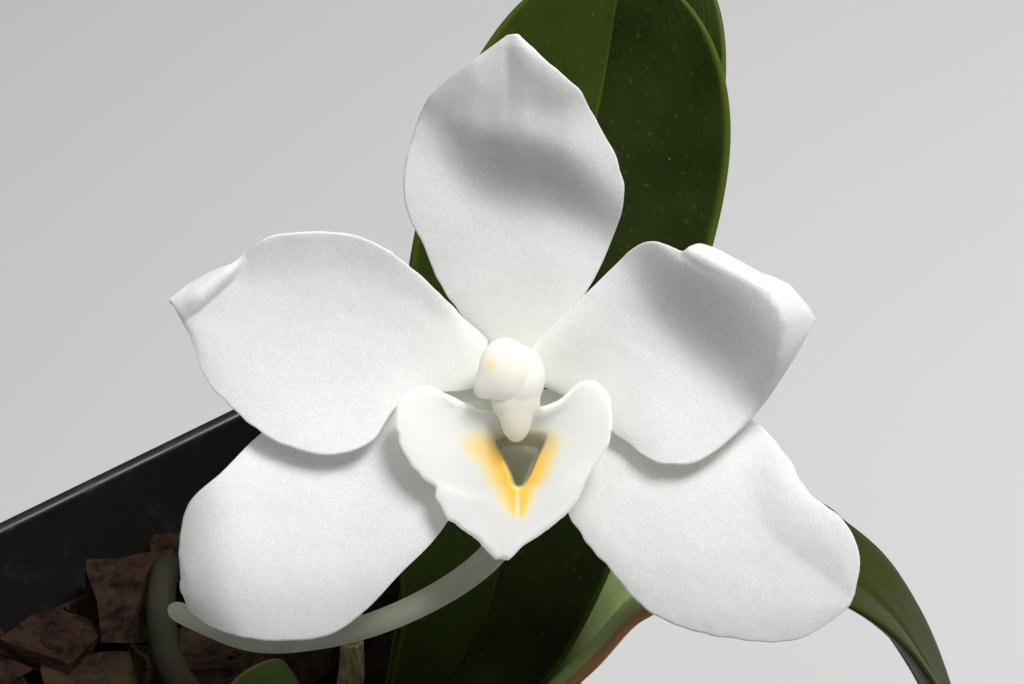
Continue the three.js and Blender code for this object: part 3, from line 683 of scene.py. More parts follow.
def leaf_surface(leaf):
    rows, columns = LEAF_MESH
    steps = np.linspace(0, 1, rows + 1)
    u = steps + LEAF_CROWDING * steps * (1 - steps)
    v = np.linspace(-1, 1, columns + 1)
    line = Line(leaf["spine"])
    ahead = line.heading(u)
    hint = np.array(leaf["across"], dtype=float)
    side = hint - ahead * (ahead @ hint)[:, None]
    side = side / np.linalg.norm(side, axis=1, keepdims=True)
    lift = np.cross(side, ahead)
    fullest = leaf["fullest"]
    rise = np.where(u < fullest, np.sin(np.pi / 2 * np.clip(u / fullest, 0, 1)) ** leaf["swell"], 1)
    fall = np.where(u > fullest, np.sqrt(1 - 0.985 * np.clip((u - fullest) / (1 - fullest), 0, 1) ** 2.6), 1)
    half = leaf["width"] / 2 * (LEAF_NECK + (1 - LEAF_NECK) * rise) * fall
    notch = -LEAF_NOTCH * bump(v[None, :], 0.4) * bump(1 - u[:, None], 0.05)
    middle = line.at(u)[:, None, :] + ahead[:, None, :] * notch[..., None]
    middle = middle + side[:, None, :] * (half[:, None] * v[None, :])[..., None]
    height = leaf["fold"] * half[:, None] * (np.abs(v[None, :]) ** 1.5 - 0.4)
    midrib = -0.28 * bump(v[None, :] * half[:, None], 0.5) * (1 - bump(1 - u[:, None], 0.05))
    uu, vv = np.meshgrid(u, v, indexing="ij")
    wave = 0.22 * crinkle(uu * 60, vv * half[:, None], 9.0, leaf["width"]) * (0.3 + np.abs(vv))
    middle = middle + lift[:, None, :] * (height + midrib + wave)[..., None]
    thickness = LEAF_THICKNESS * (1 - 0.72 * np.abs(vv) ** 5)
    thickness = thickness * (1 - 0.6 * np.clip((uu - 0.93) / 0.07, 0, 1) ** 2)
    return middle, thickness, (vv + 1) / 2, uu


def leaf_finish(name, deep, fresh, rim, split=0.0, tip=None, rust=None, sheen=0.1):
    """Waxy leaf skin. Split makes the half left of the midrib paler, tip tints the end, rust one margin."""
    finish = Finish(name, {
        "Roughness": 0.4, "Subsurface Weight": 0.15, "Subsurface Radius": (0.0008, 0.0016, 0.0003),
        "Specular IOR Level": sheen,
    })
    uv = finish.node("ShaderNodeUVMap", uv_map="blade")
    across, along = (finish.node("ShaderNodeSeparateXYZ", {0: uv}, axis) for axis in (0, 1))
    patches = finish.grain(150.0, 4.0)
    dots = finish.grain(2300.0, 2.0)
    veins = finish.grain(1.0, 2.0, finish.node("ShaderNodeCombineXYZ", {0: across * 34.0, 1: along * 2.2}))
    colour = finish.mix(finish.steps(patches, 0.38, 0.66), deep, fresh)
    if split:
        colour = finish.mix(finish.steps(across, 0.5 - 0.012, 0.5 + 0.012, split, 0.0), colour, rim)
    from_rib = abs(across - 0.5)
    margin = finish.steps(from_rib, 0.468, 0.497)
    colour = finish.mix(margin * 0.75, colour, rim)
    rib = finish.steps(from_rib, 0.004, 0.02, 1.0, 0.0)
    colour = finish.mix(rib * 0.5, colour, rim)
    colour = finish.mix(finish.steps(dots, 0.62, 0.74) * 0.35, colour, rim)
    scratches = finish.grain(4200.0, 0.0, finish.stretched((1, 1, 0.05), (0.4, 0.7, 0.9)))
    colour = finish.mix(finish.steps(scratches, 0.87, 0.9) * 0.4, colour, LEAF_SCRATCH)
    if tip:
        colour = finish.mix(finish.steps(along, 0.4, 0.62), colour, tip)
    if rust:
        side = finish.steps(across, 0.84, 0.93) * finish.steps(along, 0.46, 0.56, 1.0, 0.0)
        colour = finish.mix(side * 0.85, colour, rust)
    finish.set({
        "Base Color": colour,
        "Roughness": 0.34 + 0.2 * patches,
        "Normal": finish.relief(dots, 0.00005, 0.5, finish.relief(veins, 0.00025, 0.35)),
    })
    return finish


leaf_skins = {
    "leaf": leaf_finish("leaf_skin", (0.011, 0.018, 0.0022, 1), (0.021, 0.032, 0.0036, 1),
                        (0.06, 0.095, 0.009, 1)),
    "young_leaf": leaf_finish("young_leaf_skin", (0.07, 0.11, 0.025, 1), (0.11, 0.16, 0.04, 1),
                              (0.22, 0.27, 0.08, 1)),
    "leaf_back": leaf_finish("back_leaf_skin", (0.0098, 0.0155, 0.0016, 1), (0.0165, 0.025, 0.0024, 1),
                             (0.058, 0.09, 0.007, 1), split=0.22),
    # Painted light: the right leaf's base is painted a bright pale green, partly a young leaf's paler green
    # and mostly painted light; its far end takes the leaf's own dark green.
    "leaf_right": leaf_finish("right_leaf_painted_light_skin", (0.36, 0.46, 0.16, 1), (0.48, 0.58, 0.24, 1),
                              (0.46, 0.55, 0.18, 1), tip=(0.024, 0.032, 0.004, 1),
                              rust=(0.4, 0.17, 0.1, 1), sheen=0.04),
}
for name, leaf in LEAVES.items():
    finish = leaf_skins.get(name, leaf_skins[leaf["slot"]])
    middle, thickness, across_map, along_map = leaf_surface(leaf)
    blade = sheet(name + "_blade", middle, thickness, finish, across_map, along_map)
    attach(blade, "root")
    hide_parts(name)

# Ovary and flower stalk: a slim pale stalk from the side of the stem carries the single flower.
# The ridged ovary bends down behind the flower, and a dry bract wraps the joint below it.
FLOWER = Vector((30.5, -12.0, 88.0))
FLOWER_TURN = math.radians(-23.5)
FLOWER_HEIGHT_ANGLE = math.radians(42)
FLOWER_ROLL = math.radians(-10)
STALK_RADIUS = 0.95
OVARY_RADIUS = 1.0
STALK_MESH = (28, 70)
OVARY_MESH = (36, 90)
OVARY_GREEN = (0.62, 0.68, 0.42, 1)
OVARY_PALE = (0.72, 0.76, 0.56, 1)
OVARY_LINE = [(-0.4, 1.4, -3.6), (-0.9, 0.6, -5.6), (-4, -3, -8), (-9.3, -9, -9.6), (-12, -15, -12.6),
              (-12.4, -19, -15.6)]
face_turn = (Matrix.Rotation(FLOWER_TURN, 3, "Z") @ Matrix.Rotation(math.pi / 2 - FLOWER_HEIGHT_ANGLE, 3, "X")
             @ Matrix.Rotation(FLOWER_ROLL, 3, "Z"))


def from_face(points):
    """Places on the flower's face, X right, Y up and Z to the viewer, in the object's frame."""
    return np.asarray(points, dtype=float) @ np.array(face_turn.transposed()) + np.array(FLOWER)


def face_piece(name, rings, finish):
    """A closed piece through rings given on the flower's face."""
    points, faces = stack(rings)
    return make_piece(name, from_face(points), faces, finish)


def to_face(piece):
    """Places of a piece's points on the flower's face, in millimetres."""
    places = np.array([v.co for v in piece.data.vertices]) / MM
    return ((places - np.array(FLOWER)) @ np.array(face_turn)).T


def ovary_radius(share, angle):
    return OVARY_RADIUS * (1 - 0.3 * share) * (1 + 0.07 * math.cos(6 * angle + 5 * share))


ovary_finish = Finish("ovary_skin", {"Roughness": 0.4, "Subsurface Weight": 0.3,
                                     "Subsurface Radius": (0.0012, 0.0014, 0.0007)})
ovary_tone = ovary_finish.steps(ovary_finish.grain(240.0, 3.0), 0.4, 0.65)
ovary_finish.set({
    "Base Color": ovary_finish.mix(ovary_tone, OVARY_GREEN, OVARY_PALE),
    "Normal": ovary_finish.relief(ovary_finish.grain(3000.0, 2.0), 0.00004, 0.4),
})
ovary_points = from_face(OVARY_LINE)
ovary = bar("ovary_skin", Line(ovary_points), ovary_radius, OVARY_MESH, ovary_finish)
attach(ovary, "root")
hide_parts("ovary")

lower_end = ovary_points[-1]
down_the_ovary = (ovary_points[-1] - ovary_points[-2]) / np.linalg.norm(ovary_points[-1] - ovary_points[-2])
stalk_head = lower_end + CLEARANCE * down_the_ovary
stalk_line = Line([(13.6, -5.9, 54.4), (14.6, -5.2, 57.6), stalk_head + np.array((-0.6, 0, -3)), stalk_head])


def stalk_radius(share, angle):
    bract = 0.22 * (share > 0.42) * (1 - (share - 0.42) / 0.58) + 0.16 * (share < 0.3)
    return STALK_RADIUS + bract * (1 + 0.3 * math.sin(angle)) - 0.08


stalk = bar("stalk_sheath", stalk_line, stalk_radius, STALK_MESH, sheath_finish)
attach(stalk, "root")
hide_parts("flower_stalk")

# Sepals and petals: five broad white blades round the column, three sepals behind two petals.
# Each is a soft fleshy blade whose skin of tiny domed cells sparkles like fine sugar, with glossy specks and
# painted highlights.
TEPAL_THICKNESS = 0.7
SEEN_FROM = 300.0
SEEN_AT = (-0.22, 3.48)
PETAL_GRAIN = 9000.0
PETAL_MESH = (200, 115)
SEPAL_MESH = (130, 90)
PETAL_WHITE = (0.78, 0.785, 0.78, 1)
# Painted highlight colour: the near-white of the glint specks.
PETAL_PAINTED_GLINT = (0.98, 0.98, 0.975, 1)
PETAL_HEART = (0.86, 0.85, 0.77, 1)
# Painted shade colours: the grey painted on folds facing away from the light, and its own painted glint
# specks.
PAINTED_SHADE_GREY = (0.58, 0.585, 0.57, 1)
PAINTED_SHADE_GLINT = (0.84, 0.845, 0.83, 1)
PETAL_GLOW = (0.98, 0.98, 0.97, 1)


def side_of(x, y, a, b):
    """Distance from the line through a and b, positive to its left."""
    length = math.hypot(b[0] - a[0], b[1] - a[1])
    return ((b[0] - a[0]) * (y - a[1]) - (b[1] - a[1]) * (x - a[0])) / length


def rise(values, start, end):
    share = np.clip((values - start) / (end - start), 0, 1)
    return share * share * (3 - 2 * share)


def bend(distance, width):
    """Height that starts to climb, one for one, where the distance turns positive."""
    return width * np.logaddexp(0, distance / width)


def least(*distances):
    """Smooth least of several distances."""
    return -0.8 * np.logaddexp.reduce([-d / 0.8 for d in distances])


def dorsal_relief(x, y, u, v):
    right, left = np.clip(x, 0, None), np.clip(-x, 0, None)
    climb = bend((y - 13.7 - 0.11 * left ** 2 + 0.055 * right ** 2) / np.hypot(1, 0.2 * left), 0.7)
    past_crest = y - 18.7 + 0.085 * right ** 2 - 0.07 * left ** 2
    crest = bend(past_crest / np.hypot(1, 0.14 * left + 0.15 * right), 0.4)
    band = 0.74 * (1 - 0.28 * rise(-x, -1, 2.5) - 0.24 * rise(-x, 2, 7) - 0.3 * rise(x, 3.5, 8))
    beyond = bend(y - 20.3, 0.8)
    tip = 0.25 * beyond * rise(x, -0.8, 3)
    tip = tip + 0.36 * least(np.hypot(x + 0.3, 0.25), 0.8 * beyond) * rise(y, 17, 22)
    return -2.4 + 0.11 * (y - 4) + band * (climb - 0.9 * crest) + tip


def left_petal_relief(x, y, u, v):
    bowl = 0.015 * (y - 3) ** 2 * rise(-x, 3, 9)
    brow = 2.2 * bend(v - 0.64, 0.1) * rise(-x, 3, 6) * (1 - rise(-x, 18, 21))
    edge = side_of(x, y, (-23.8, 6.0), (-20.4, 8.9))
    roll = 1.7 * bend(edge + 0.55, 0.1) - 2.7 * bend(edge, 0.06)
    roll = roll * rise(-x, 19.4, 21) * (1 - rise(-x, 22.8, 24.8))
    return -0.9 + 0.11 * np.clip(-2.5 - x, 0, None) + bowl + brow + roll


def right_petal_climb(x, y):
    """Distance into the part of the blade that climbs to the viewer."""
    return least(0.7 * (x - 9.1) + 0.71 * (y - 6.9), 0.97 * (x - 10) + 0.22 * (y - 2.9),
                 0.45 * (x - 13.6) + 0.89 * (y + 4.5))


def right_petal_fold(x, y):
    """Distance beyond the line where the outer margin turns back."""
    bow = np.where(y > 4.8, 0.26, 0.055)
    return (x - 19.35 + bow * (y - 4.8) ** 2) / np.hypot(1, 2 * bow * (y - 4.8))


def right_petal_relief(x, y, u, v):
    inward = right_petal_climb(x, y)
    climb = 0.9 * bend(inward, 0.7) - 0.04 * np.clip(inward, 0, None) ** 2
    bowl = np.where(y > 1.5, 0.024, 0.009) * (y - 1.5) ** 2 * rise(x, 4, 12)
    base = 0.2 * (6 - bend(6 - x, 1.2)) + 0.12 * (y - 1) * (1 - rise(x, 5, 11))
    rim = -1.6 * bend(-v - 0.9, 0.03) * rise(x, 10, 11.5) * (1 - rise(x, 15.5, 17))
    wrinkle = -0.12 * bump(side_of(x, y, (12.0, 10.0), (13.6, 8.9)), 0.3) * rise(y, 8, 9.6)
    return -1.25 + base + bowl + climb - 0.95 * bend(right_petal_fold(x, y), 0.06) + rim + wrinkle


def left_lateral_relief(x, y, u, v):
    lower = -0.32 * bend(-13.6 - y, 0.9)
    side = -0.85 * bend(-side_of(x, y, (-22.2, -7), (-20.8, -16.5)), 0.7)
    under = -0.75 * rise(-x, 4, 13) - 0.08 * bend(y + 7, 0.7) * rise(-x, 7, 13)
    return -2.15 - 0.16 * (x + 2) - 0.12 * (y + 1) + lower + side + under


def right_lateral_relief(x, y, u, v):
    down = -1 - y
    crease = side_of(x, y, (18.1, -10.1), (24.6, -15.1))
    valley = 0.3 * (bend(crease, 0.15) - bend(crease - 3, 0.8)) * rise(x, 16, 20)
    return -2.5 + 0.19 * down + 0.03 * (x - 2) - 0.014 * np.clip(down - 3, 0, None) ** 2 + valley


TEPALS = {
    "dorsal_sepal": {
        "left": [(-1.9, 3.1), (-3.1, 4.6), (-5.2, 7.3), (-6.8, 10.8), (-7.9, 13.2), (-8.1, 15.4),
                 (-7.3, 18.8), (-6.1, 21.4), (-3.2, 23.8), (-0.6, 25.7)],
        "middle": [(-0.3, 3.2), (-0.3, 8), (-0.2, 14), (-0.1, 20), (-0.1, 25.8)],
        "right": [(1.9, 2.6), (3.2, 4.3), (5.3, 7.3), (6.9, 10.6), (7.9, 13.9), (7.5, 16.4), (6.2, 18.9),
                  (4.7, 21.7), (2.9, 23.3), (0.3, 25.7)],
        "relief": dorsal_relief,
    },
    "left_petal": {
        "left": [(-2.4, 0.2), (-4.4, -0.1), (-7.6, -0.3), (-9, -1.7), (-10.4, -3.7), (-13.4, -4.7),
                 (-17.7, -3.5), (-20.6, -1.2), (-22.3, 0.6), (-23.3, 3.3), (-24.1, 4.9), (-24.95, 6.4)],
        "middle": [(-2.1, 1.9), (-6, 3.1), (-12, 3.6), (-18, 4.2), (-22, 5.3), (-25.05, 6.55)],
        "right": [(-2, 3.6), (-3.9, 5.5), (-6.9, 8.3), (-9.8, 10.5), (-12.5, 11.38), (-14.9, 11.46),
                  (-16.8, 11.34), (-18.2, 10.96), (-19.4, 10.17), (-20.4, 9.25), (-22.2, 8.5), (-24, 7.45),
                  (-24.95, 6.7)],
        "relief": left_petal_relief,
    },
    "right_petal": {
        "left": [(1.2, 3.2), (2.8, 4.7), (5.1, 6.95), (7.4, 9.2), (8.45, 10.2), (9.6, 10.73), (11, 10.54),
                 (12.1, 10.05), (12.7, 10.4), (13.4, 10.6), (14.6, 10.2), (15.9, 9.55), (17.8, 8.55),
                 (19.8, 7.7), (21.1, 6.2), (21.7, 5.2)],
        "middle": [(1.4, 1.7), (6, 2.6), (12, 2.9), (17, 3.6), (21.72, 5.1)],
        "right": [(1.8, 0.3), (3.8, -0.5), (5.4, -1.7), (7.4, -3.3), (10.3, -5.2), (13.1, -5.2),
                  (16.3, -2.9), (18.3, -0.6), (20.6, 3), (21.6, 4.9)],
        "relief": right_petal_relief,
    },
    "left_lateral_sepal": {
        "left": [(-1.1, -1.5), (-1.9, -3.2), (-2.9, -5.6), (-4.2, -8.4), (-5.9, -10.9), (-8.3, -13.3),
                 (-11, -16.1), (-13.6, -17.8), (-18.5, -18.1), (-21.4, -17.4), (-23.4, -16.1),
                 (-24.1, -14.8)],
        "middle": [(-1.5, -0.7), (-6, -4.4), (-12, -8.8), (-18, -12), (-24.2, -14.3)],
        "right": [(-1.8, 0), (-5.4, 0.5), (-10, 0.6), (-15, -0.8), (-18.6, -3.3), (-21.2, -5.9),
                  (-23.6, -8.2), (-24.3, -11.2), (-24.2, -13.9)],
        "relief": left_lateral_relief,
    },
    "right_lateral_sepal": {
        "left": [(1.3, 0), (5, 0.2), (10, 0.1), (14.5, -0.7), (17.6, -2.5), (19.9, -5.1), (21.2, -7.3),
                 (24, -9.7), (25, -12.5), (24.6, -14.8)],
        "middle": [(1.3, -0.8), (6, -4.6), (12, -8.6), (18.4, -12.2), (24.4, -15.3)],
        "right": [(1.2, -1.6), (1.9, -4.6), (3, -7.2), (4.8, -10.5), (7, -13.1), (9.4, -15.8), (12.4, -17.3),
                  (16.3, -18.1), (20.3, -18.1), (23, -16.7), (24.2, -15.7)],
        "relief": right_lateral_relief,
    },
}


def blade_grid(tepal, rows, columns):
    """Flat places of a blade between its left, middle and right lines, with u and v."""
    u = np.linspace(0, 1, rows + 1)
    v = np.linspace(-1, 1, columns + 1)
    left, middle, right = (Line(tepal[side]).at(u)[:, None, :] for side in ("left", "middle", "right"))
    spread = v[None, :, None]
    flat = left * (spread ** 2 - spread) / 2 + middle * (1 - spread ** 2) + right * (spread ** 2 + spread) / 2
    uu, vv = np.meshgrid(u, v, indexing="ij")
    return flat[..., 0], flat[..., 1], uu, vv


def petal_skin(name):
    """White skin of domed cells: fine sparkle with painted highlights, a warm heart, and painted grey shade
    on the folds that face away from the light.
    """
    finish = Finish(name, {
        "Roughness": 0.42, "IOR": 1.4, "Subsurface Weight": 0.2,
        "Subsurface Radius": (0.001, 0.00095, 0.0009),
        "Subsurface Scale": 0.5,
    })
    cells = finish.node("ShaderNodeTexVoronoi", {"Vector": finish.place(), "Scale": PETAL_GRAIN}, "Distance")
    sugar = finish.grain(PETAL_GRAIN, 1.0)
    heart = finish.stored("heart")
    # Painted highlight: bright specks of the fine grain are painted near white in the colour as glints.
    painted_glint = finish.steps(sugar, 0.45, 0.66)
    colour = finish.mix(painted_glint, PETAL_WHITE, PETAL_PAINTED_GLINT)
    colour = finish.mix(heart, colour, PETAL_HEART)
    # Painted shade: a stored reading greys the blade on the folds that face away from the light.
    thin = finish.stored("thin")
    colour = finish.mix(thin * 0.7, colour, finish.mix(painted_glint, PAINTED_SHADE_GREY, PAINTED_SHADE_GLINT))
    finish.set({
        "Base Color": colour,
        "Roughness": finish.steps(sugar, 0.45, 0.75, 0.55, 0.25),
        "Normal": finish.relief(cells, 0.00004, 0.25),
    })
    finish.let_through(0.5, PETAL_GLOW)
    return finish


petal_finish = petal_skin("petal_skin")
for name, tepal in TEPALS.items():
    x, y, u, v = blade_grid(tepal, *(PETAL_MESH if "petal" in name else SEPAL_MESH))
    edge = np.abs(v) ** 10
    wobble = 0.09 * crinkle(x, y, 1.1, 3.0) * edge
    z = tepal["relief"](x, y, u, v) + 0.07 * crinkle(x, y, 3.5, 5.0) + 0.02 * crinkle(x, y, 1.2, 9.0)
    closer = 1 - z / SEEN_FROM
    middle = np.stack([SEEN_AT[0] + (x - SEEN_AT[0]) * closer + wobble,
                       SEEN_AT[1] + (y - SEEN_AT[1]) * closer + wobble, z], axis=-1)
    thickness = TEPAL_THICKNESS * (1 - 0.82 * np.abs(v) ** 4) * (1 - 0.5 * rise(u, 0.96, 1.0))
    # Painted shade: grey is painted on the right petal's climbing part and in the dorsal sepal's valley band,
    # where those folds face away from the light.
    readings = {"heart": 0.85 * bump(np.hypot(x, y), 5.5), "thin": 0 * x}
    if name == "right_petal":
        ragged = 0.12 * np.sin(2.3 * y + 0.6) + 0.07 * np.sin(5.1 * y)
        turned_back = rise(right_petal_fold(x, y) + ragged, -0.04, 0.12)
        readings["thin"] = rise(right_petal_climb(x, y), -0.5, 2.0) * (1 - turned_back)
    if name == "dorsal_sepal":
        readings["thin"] = 0.55 * bump((y - 16.7 + 0.4 * x) / 1.08, 1.9) * (1 - rise(np.abs(x - 1.5), 4, 8))
    blade = sheet(name + "_blade", from_face(middle), thickness, petal_finish, (v + 1) / 2, u, readings)
    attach(blade, "root")
    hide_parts(name)

# Lip: the third petal, a small waxy scoop with two erect side lobes, grown together with its spur.
# The spur is a long hollow nectar tube; yellow bands run down both sides of its dark mouth.
LIP = {
    "left": [(-4.5, -1.1), (-5.5, 0), (-7, 0.3), (-8.3, -0.6), (-8.65, -2.4), (-8, -4.5), (-6.8, -6.2),
             (-5.8, -7), (-5.6, -8), (-4.85, -9.25), (-2.9, -10.65), (-1.9, -11.6), (-1.3, -12.1)],
    "middle": [(-0.9, -1.6), (-0.4, -3.2), (0.1, -5.2), (0.1, -7.2), (-0.2, -9.4), (-1, -12.2)],
    "right": [(2, -1.4), (3.4, -0.7), (5, 0.7), (6.2, 0.4), (7, -1.6), (6.7, -3.9), (5.3, -6.1), (4.3, -8.2),
              (2.3, -10), (0.6, -11), (-0.1, -11.7), (-0.6, -12.1)],
}
LIP_FLOOR = 0.5
LEFT_LOBE_RISE = 1.1
RIGHT_LOBE_RISE = 1.5
LIP_THICKNESS = 0.62
LIP_MESH = (110, 110)
SPUR_LINE = [(0.3, -4.9, 0.15), (0.3, -5.2, -0.9), (0.2, -6.4, -2.6), (0, -8.4, -4), (-1.1, -11.4, -4.9),
             (-3.4, -13.7, -5.3), (-8.3, -16.5, -5.6), (-13.6, -18.2, -5.6), (-19.2, -18.6, -5.4),
             (-23.6, -17, -5.2), (-25.6, -16, -5.2)]
SPUR_START_RADIUS = 2.4
MOUTH = [(-1.65, -3.35), (-0.9, -3.08), (0.35, -3.02), (1.7, -3.08), (2.3, -3.35), (2.2, -3.8), (1.87, -4.5),
         (1.45, -5.5), (0.85, -6.7), (0.4, -7.15), (-0.14, -6.95), (-0.43, -6.1), (-0.97, -4.75),
         (-1.5, -3.8)]
MOUTH_CENTRE = (0.35, -4.3)
FUNNEL = [(4, 1.12, 0.35, -4.2), (0.9, 1, 0.35, -4.3), (0.1, 0.85, 0.33, -4.6), (-1.5, 0.5, 0.3, -5.6),
          (-3.2, 0.24, 0.1, -7.3)]
SPUR_RADIUS = 1.1
SPUR_TIP_RADIUS = 0.75
SPUR_MESH = (28, 150)
LIP_VOXEL = 0.13
LIP_SMOOTHING = 4
LIP_WHITE = (0.975, 0.975, 0.96, 1)
LIP_BRIGHT = (0.99, 0.99, 0.98, 1)
TUBE_GREY = (0.4, 0.42, 0.3, 1)
MOUTH_OLIVE = (0.46, 0.44, 0.2, 1)
LIP_GLOW = (0.99, 0.99, 0.97, 1)


def lip_relief(x, y, u, v):
    lobe = np.where(v < 0, LEFT_LOBE_RISE, RIGHT_LOBE_RISE) * np.abs(v) ** 2.2
    lobe = lobe * (1 - 0.72 * rise(u, 0.35, 0.95))
    return LIP_FLOOR + lobe + 0.9 * np.clip(u - 0.55, 0, None)


def spur_radius(share, angle):
    throat = (SPUR_START_RADIUS - SPUR_RADIUS) * math.exp(-((share / 0.06) ** 2))
    end = math.sqrt(max(0.02, 1 - max(0, (share - 0.97) / 0.03) ** 2))
    return (throat + SPUR_RADIUS + (SPUR_TIP_RADIUS - SPUR_RADIUS) * share) * end


def grow_together(piece, joins, voxel, rounds, finish):
    """Join and cut a piece with others and close it in one smooth skin, at one unit a millimetre."""
    for shape in [piece] + [tool for _, tool in joins]:
        shape.data.transform(Matrix.Scale(1 / MM, 4))
    for operation, tool in joins:
        join = piece.modifiers.new("join", "BOOLEAN")
        join.operation = operation
        join.object = tool
        join.solver = "EXACT"
    skin = piece.modifiers.new("skin", "REMESH")
    skin.mode = "VOXEL"
    skin.voxel_size = voxel
    skin.use_smooth_shade = True
    relax = piece.modifiers.new("relax", "SMOOTH")
    relax.factor = 0.5
    relax.iterations = rounds
    apply_modifiers(piece)
    for _, tool in joins:
        bpy.data.objects.remove(tool)
    piece.data.transform(Matrix.Scale(MM, 4))
    piece.data.materials.clear()
    piece.data.materials.append(finish.material)


def lip_readings(piece):
    """Yellow and olive tints of the lip by their place on the flower's face."""
    x, y, z = to_face(piece)
    mouth_half = np.interp(y, [-7.15, -6.8, -5.5, -4.3, -3.4, -2.5], [0.0, 0.45, 1.02, 1.5, 1.9, 1.9])
    centre = np.interp(y, [-7.15, -5.5, -3.0], [0.3, 0.35, 0.3])
    away = np.clip(np.abs(x - centre) - mouth_half, 0, None)
    strength = np.interp(y, [-9.5, -9.1, -8.2, -6.2, -4.6, -3.7, -3.1, -2.6],
                         [0.0, 0.9, 1.0, 1.0, 0.85, 0.6, 0.3, 0.0])
    spread = np.where(x < 0.3, np.interp(y, [-9.3, -8.8, -7.6, -5.5, -3.5], [0.4, 0.8, 1.5, 1.6, 2.7]),
                      np.interp(y, [-9.3, -8.8, -7.6, -5.9, -3.5], [0.3, 0.55, 1.05, 1.2, 1.3]))
    keel = bump(x - 0.18, 0.16) * rise(-y, 7.1, 7.6)
    yellow = np.exp(-((away / spread) ** 2)) * strength * (1 - 0.85 * keel) * (z > -0.5)
    shade = bump(np.clip(y + 3.6, 0, None), 1.1) * bump(np.clip(np.abs(x - 0.3) - 1.6, 0, None), 0.9)
    shade = shade * rise(y, -5.0, -3.6)
    deep = np.maximum(rise(-z, -0.85, -0.4) * (away < 0.15) * (y < -2.5) * (y > -7.4), 0.75 * shade)
    tube = rise(-z, 0.6, 2.2)
    store(piece, {"yellow": yellow, "deep": deep, "tube": tube})


lip_finish = Finish("lip_wax", {
    "Roughness": 0.45, "Subsurface Weight": 0.45, "Subsurface Radius": (0.0011, 0.001, 0.0008),
    "Subsurface Scale": 1.0,
})
yellow = lip_finish.stored("yellow")
deep = lip_finish.stored("deep")
tube = lip_finish.stored("tube")
wax = lip_finish.grain(420.0, 3.0)
lip_colour = lip_finish.mix(lip_finish.steps(wax, 0.35, 0.7), LIP_WHITE, LIP_BRIGHT)
band_colour = lip_finish.ramp(yellow, [
    (0.0, (0.95, 0.94, 0.86, 1)),
    (0.3, (0.95, 0.83, 0.5, 1)),
    (0.7, (0.95, 0.6, 0.12, 1)),
    (1.0, (0.94, 0.45, 0.025, 1)),
])
lip_colour = lip_finish.mix(lip_finish.steps(yellow, 0.02, 0.3), lip_colour, band_colour)
lip_colour = lip_finish.mix(tube, lip_colour, TUBE_GREY)
lip_finish.set({
    "Base Color": lip_finish.mix(deep, lip_colour, MOUTH_OLIVE),
    "Normal": lip_finish.relief(wax, 0.0001, 0.25,
                                lip_finish.relief(lip_finish.grain(4200.0, 1.0), 0.00002, 0.3)),
})
lip_finish.let_through((1.0 - yellow * 0.85) * 0.6, LIP_GLOW)
x, y, u, v = blade_grid(LIP, *LIP_MESH)
ragged = 0.16 * crinkle(x, y, 0.8, 12.0) * np.abs(v) ** 8
lip_middle = np.stack([x + ragged, y + ragged, lip_relief(x, y, u, v)], axis=-1)
lip_thickness = LIP_THICKNESS * (1 - 0.45 * np.abs(v) ** 6)
lip = sheet("lip_scoop", from_face(lip_middle), lip_thickness, lip_finish, (v + 1) / 2, u)
spur_wall = bar("spur", Line(from_face(SPUR_LINE)), spur_radius, SPUR_MESH, lip_finish)
mouth_line = Line(MOUTH + MOUTH[:1])
mouth_ring = mouth_line.at(np.linspace(0, 1, 49)[:-1])
funnel_rings = []
for z, share, x, y in FUNNEL:
    ring = [(x + share * (p[0] - MOUTH_CENTRE[0]), y + share * (p[1] - MOUTH_CENTRE[1]), z)
            for p in mouth_ring]
    funnel_rings.append(ring)
throat = face_piece("throat", funnel_rings, lip_finish)
grow_together(lip, [("UNION", spur_wall), ("DIFFERENCE", throat)], LIP_VOXEL, LIP_SMOOTHING, lip_finish)
lip_readings(lip)
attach(lip, "root")
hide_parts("lip")

# Column and anther cap: the short waxy post in the middle of the flower, with a tongue below.
# The cap is a separate little hood on its front, and two yellow pollen masses show through it.
CAP_CENTRE = (-0.7, 1.55, 2.6)
CAP_RADII = (1.9, 2.25, 0.95)
CAP_BRIM = 0.85
EGG_MESH = (40, 24)
BRIM_TIP = (-2.95, -0.12)
SEAT_GAP = -0.04
COLUMN_PROFILE = [(0.9, -3.2), (1.15, -2.7), (1.2, -0.4), (1.5, 0.4), (1.5, 1.4), (1.2, 1.6)]
COLUMN_CENTRE = (-0.35, 1.6)
COLUMN_SIDES = 40
COLUMN_SWELLINGS = [("head", (0.3, 0.95, 1.9), (1.9, 2.35, 1.32)),
                    ("foot", (0.08, -1.6, 2.1), (1.22, 2.2, 0.66)),
                    ("chin", (0.05, -0.7, 1.85), (1.8, 1.75, 1))]
COLUMN_VOXEL = 0.09
COLUMN_SMOOTHING = 34
COLUMN_WHITE = (0.87, 0.86, 0.815, 1)
COLUMN_CREAM = (0.82, 0.785, 0.63, 1)
BRIM_BROWN = (0.12, 0.07, 0.04, 1)
POLLEN_YELLOW = (0.9, 0.66, 0.25, 1)
COLUMN_GLOW = (0.98, 0.975, 0.95, 1)


def egg(centre, radii):
    sides, rows = EGG_MESH
    rings = []
    for row in range(1, rows):
        lean = math.pi * row / rows
        wide = (radii[0] * math.sin(lean), radii[1] * math.sin(lean))
        rings.append(oval(centre, wide, centre[2] - radii[2] * math.cos(lean), sides))
    return rings


def cap_rings(grow):
    """Rings of the hood, drawn out to a low brim at its lower left."""
    rings = []
    for ring in egg((0, 0, 0), (1, 1, 1)):
        out = []
        for x, y, z in ring:
            brim = CAP_BRIM * max(0, -0.8 * x - 0.6 * y) ** 10
            out.append((CAP_CENTRE[0] + x * (CAP_RADII[0] + grow) - 0.8 * brim,
                        CAP_CENTRE[1] + y * (CAP_RADII[1] + grow) - 0.6 * brim,
                        CAP_CENTRE[2] + z * (CAP_RADII[2] + grow)))
        rings.append(out)
    return rings


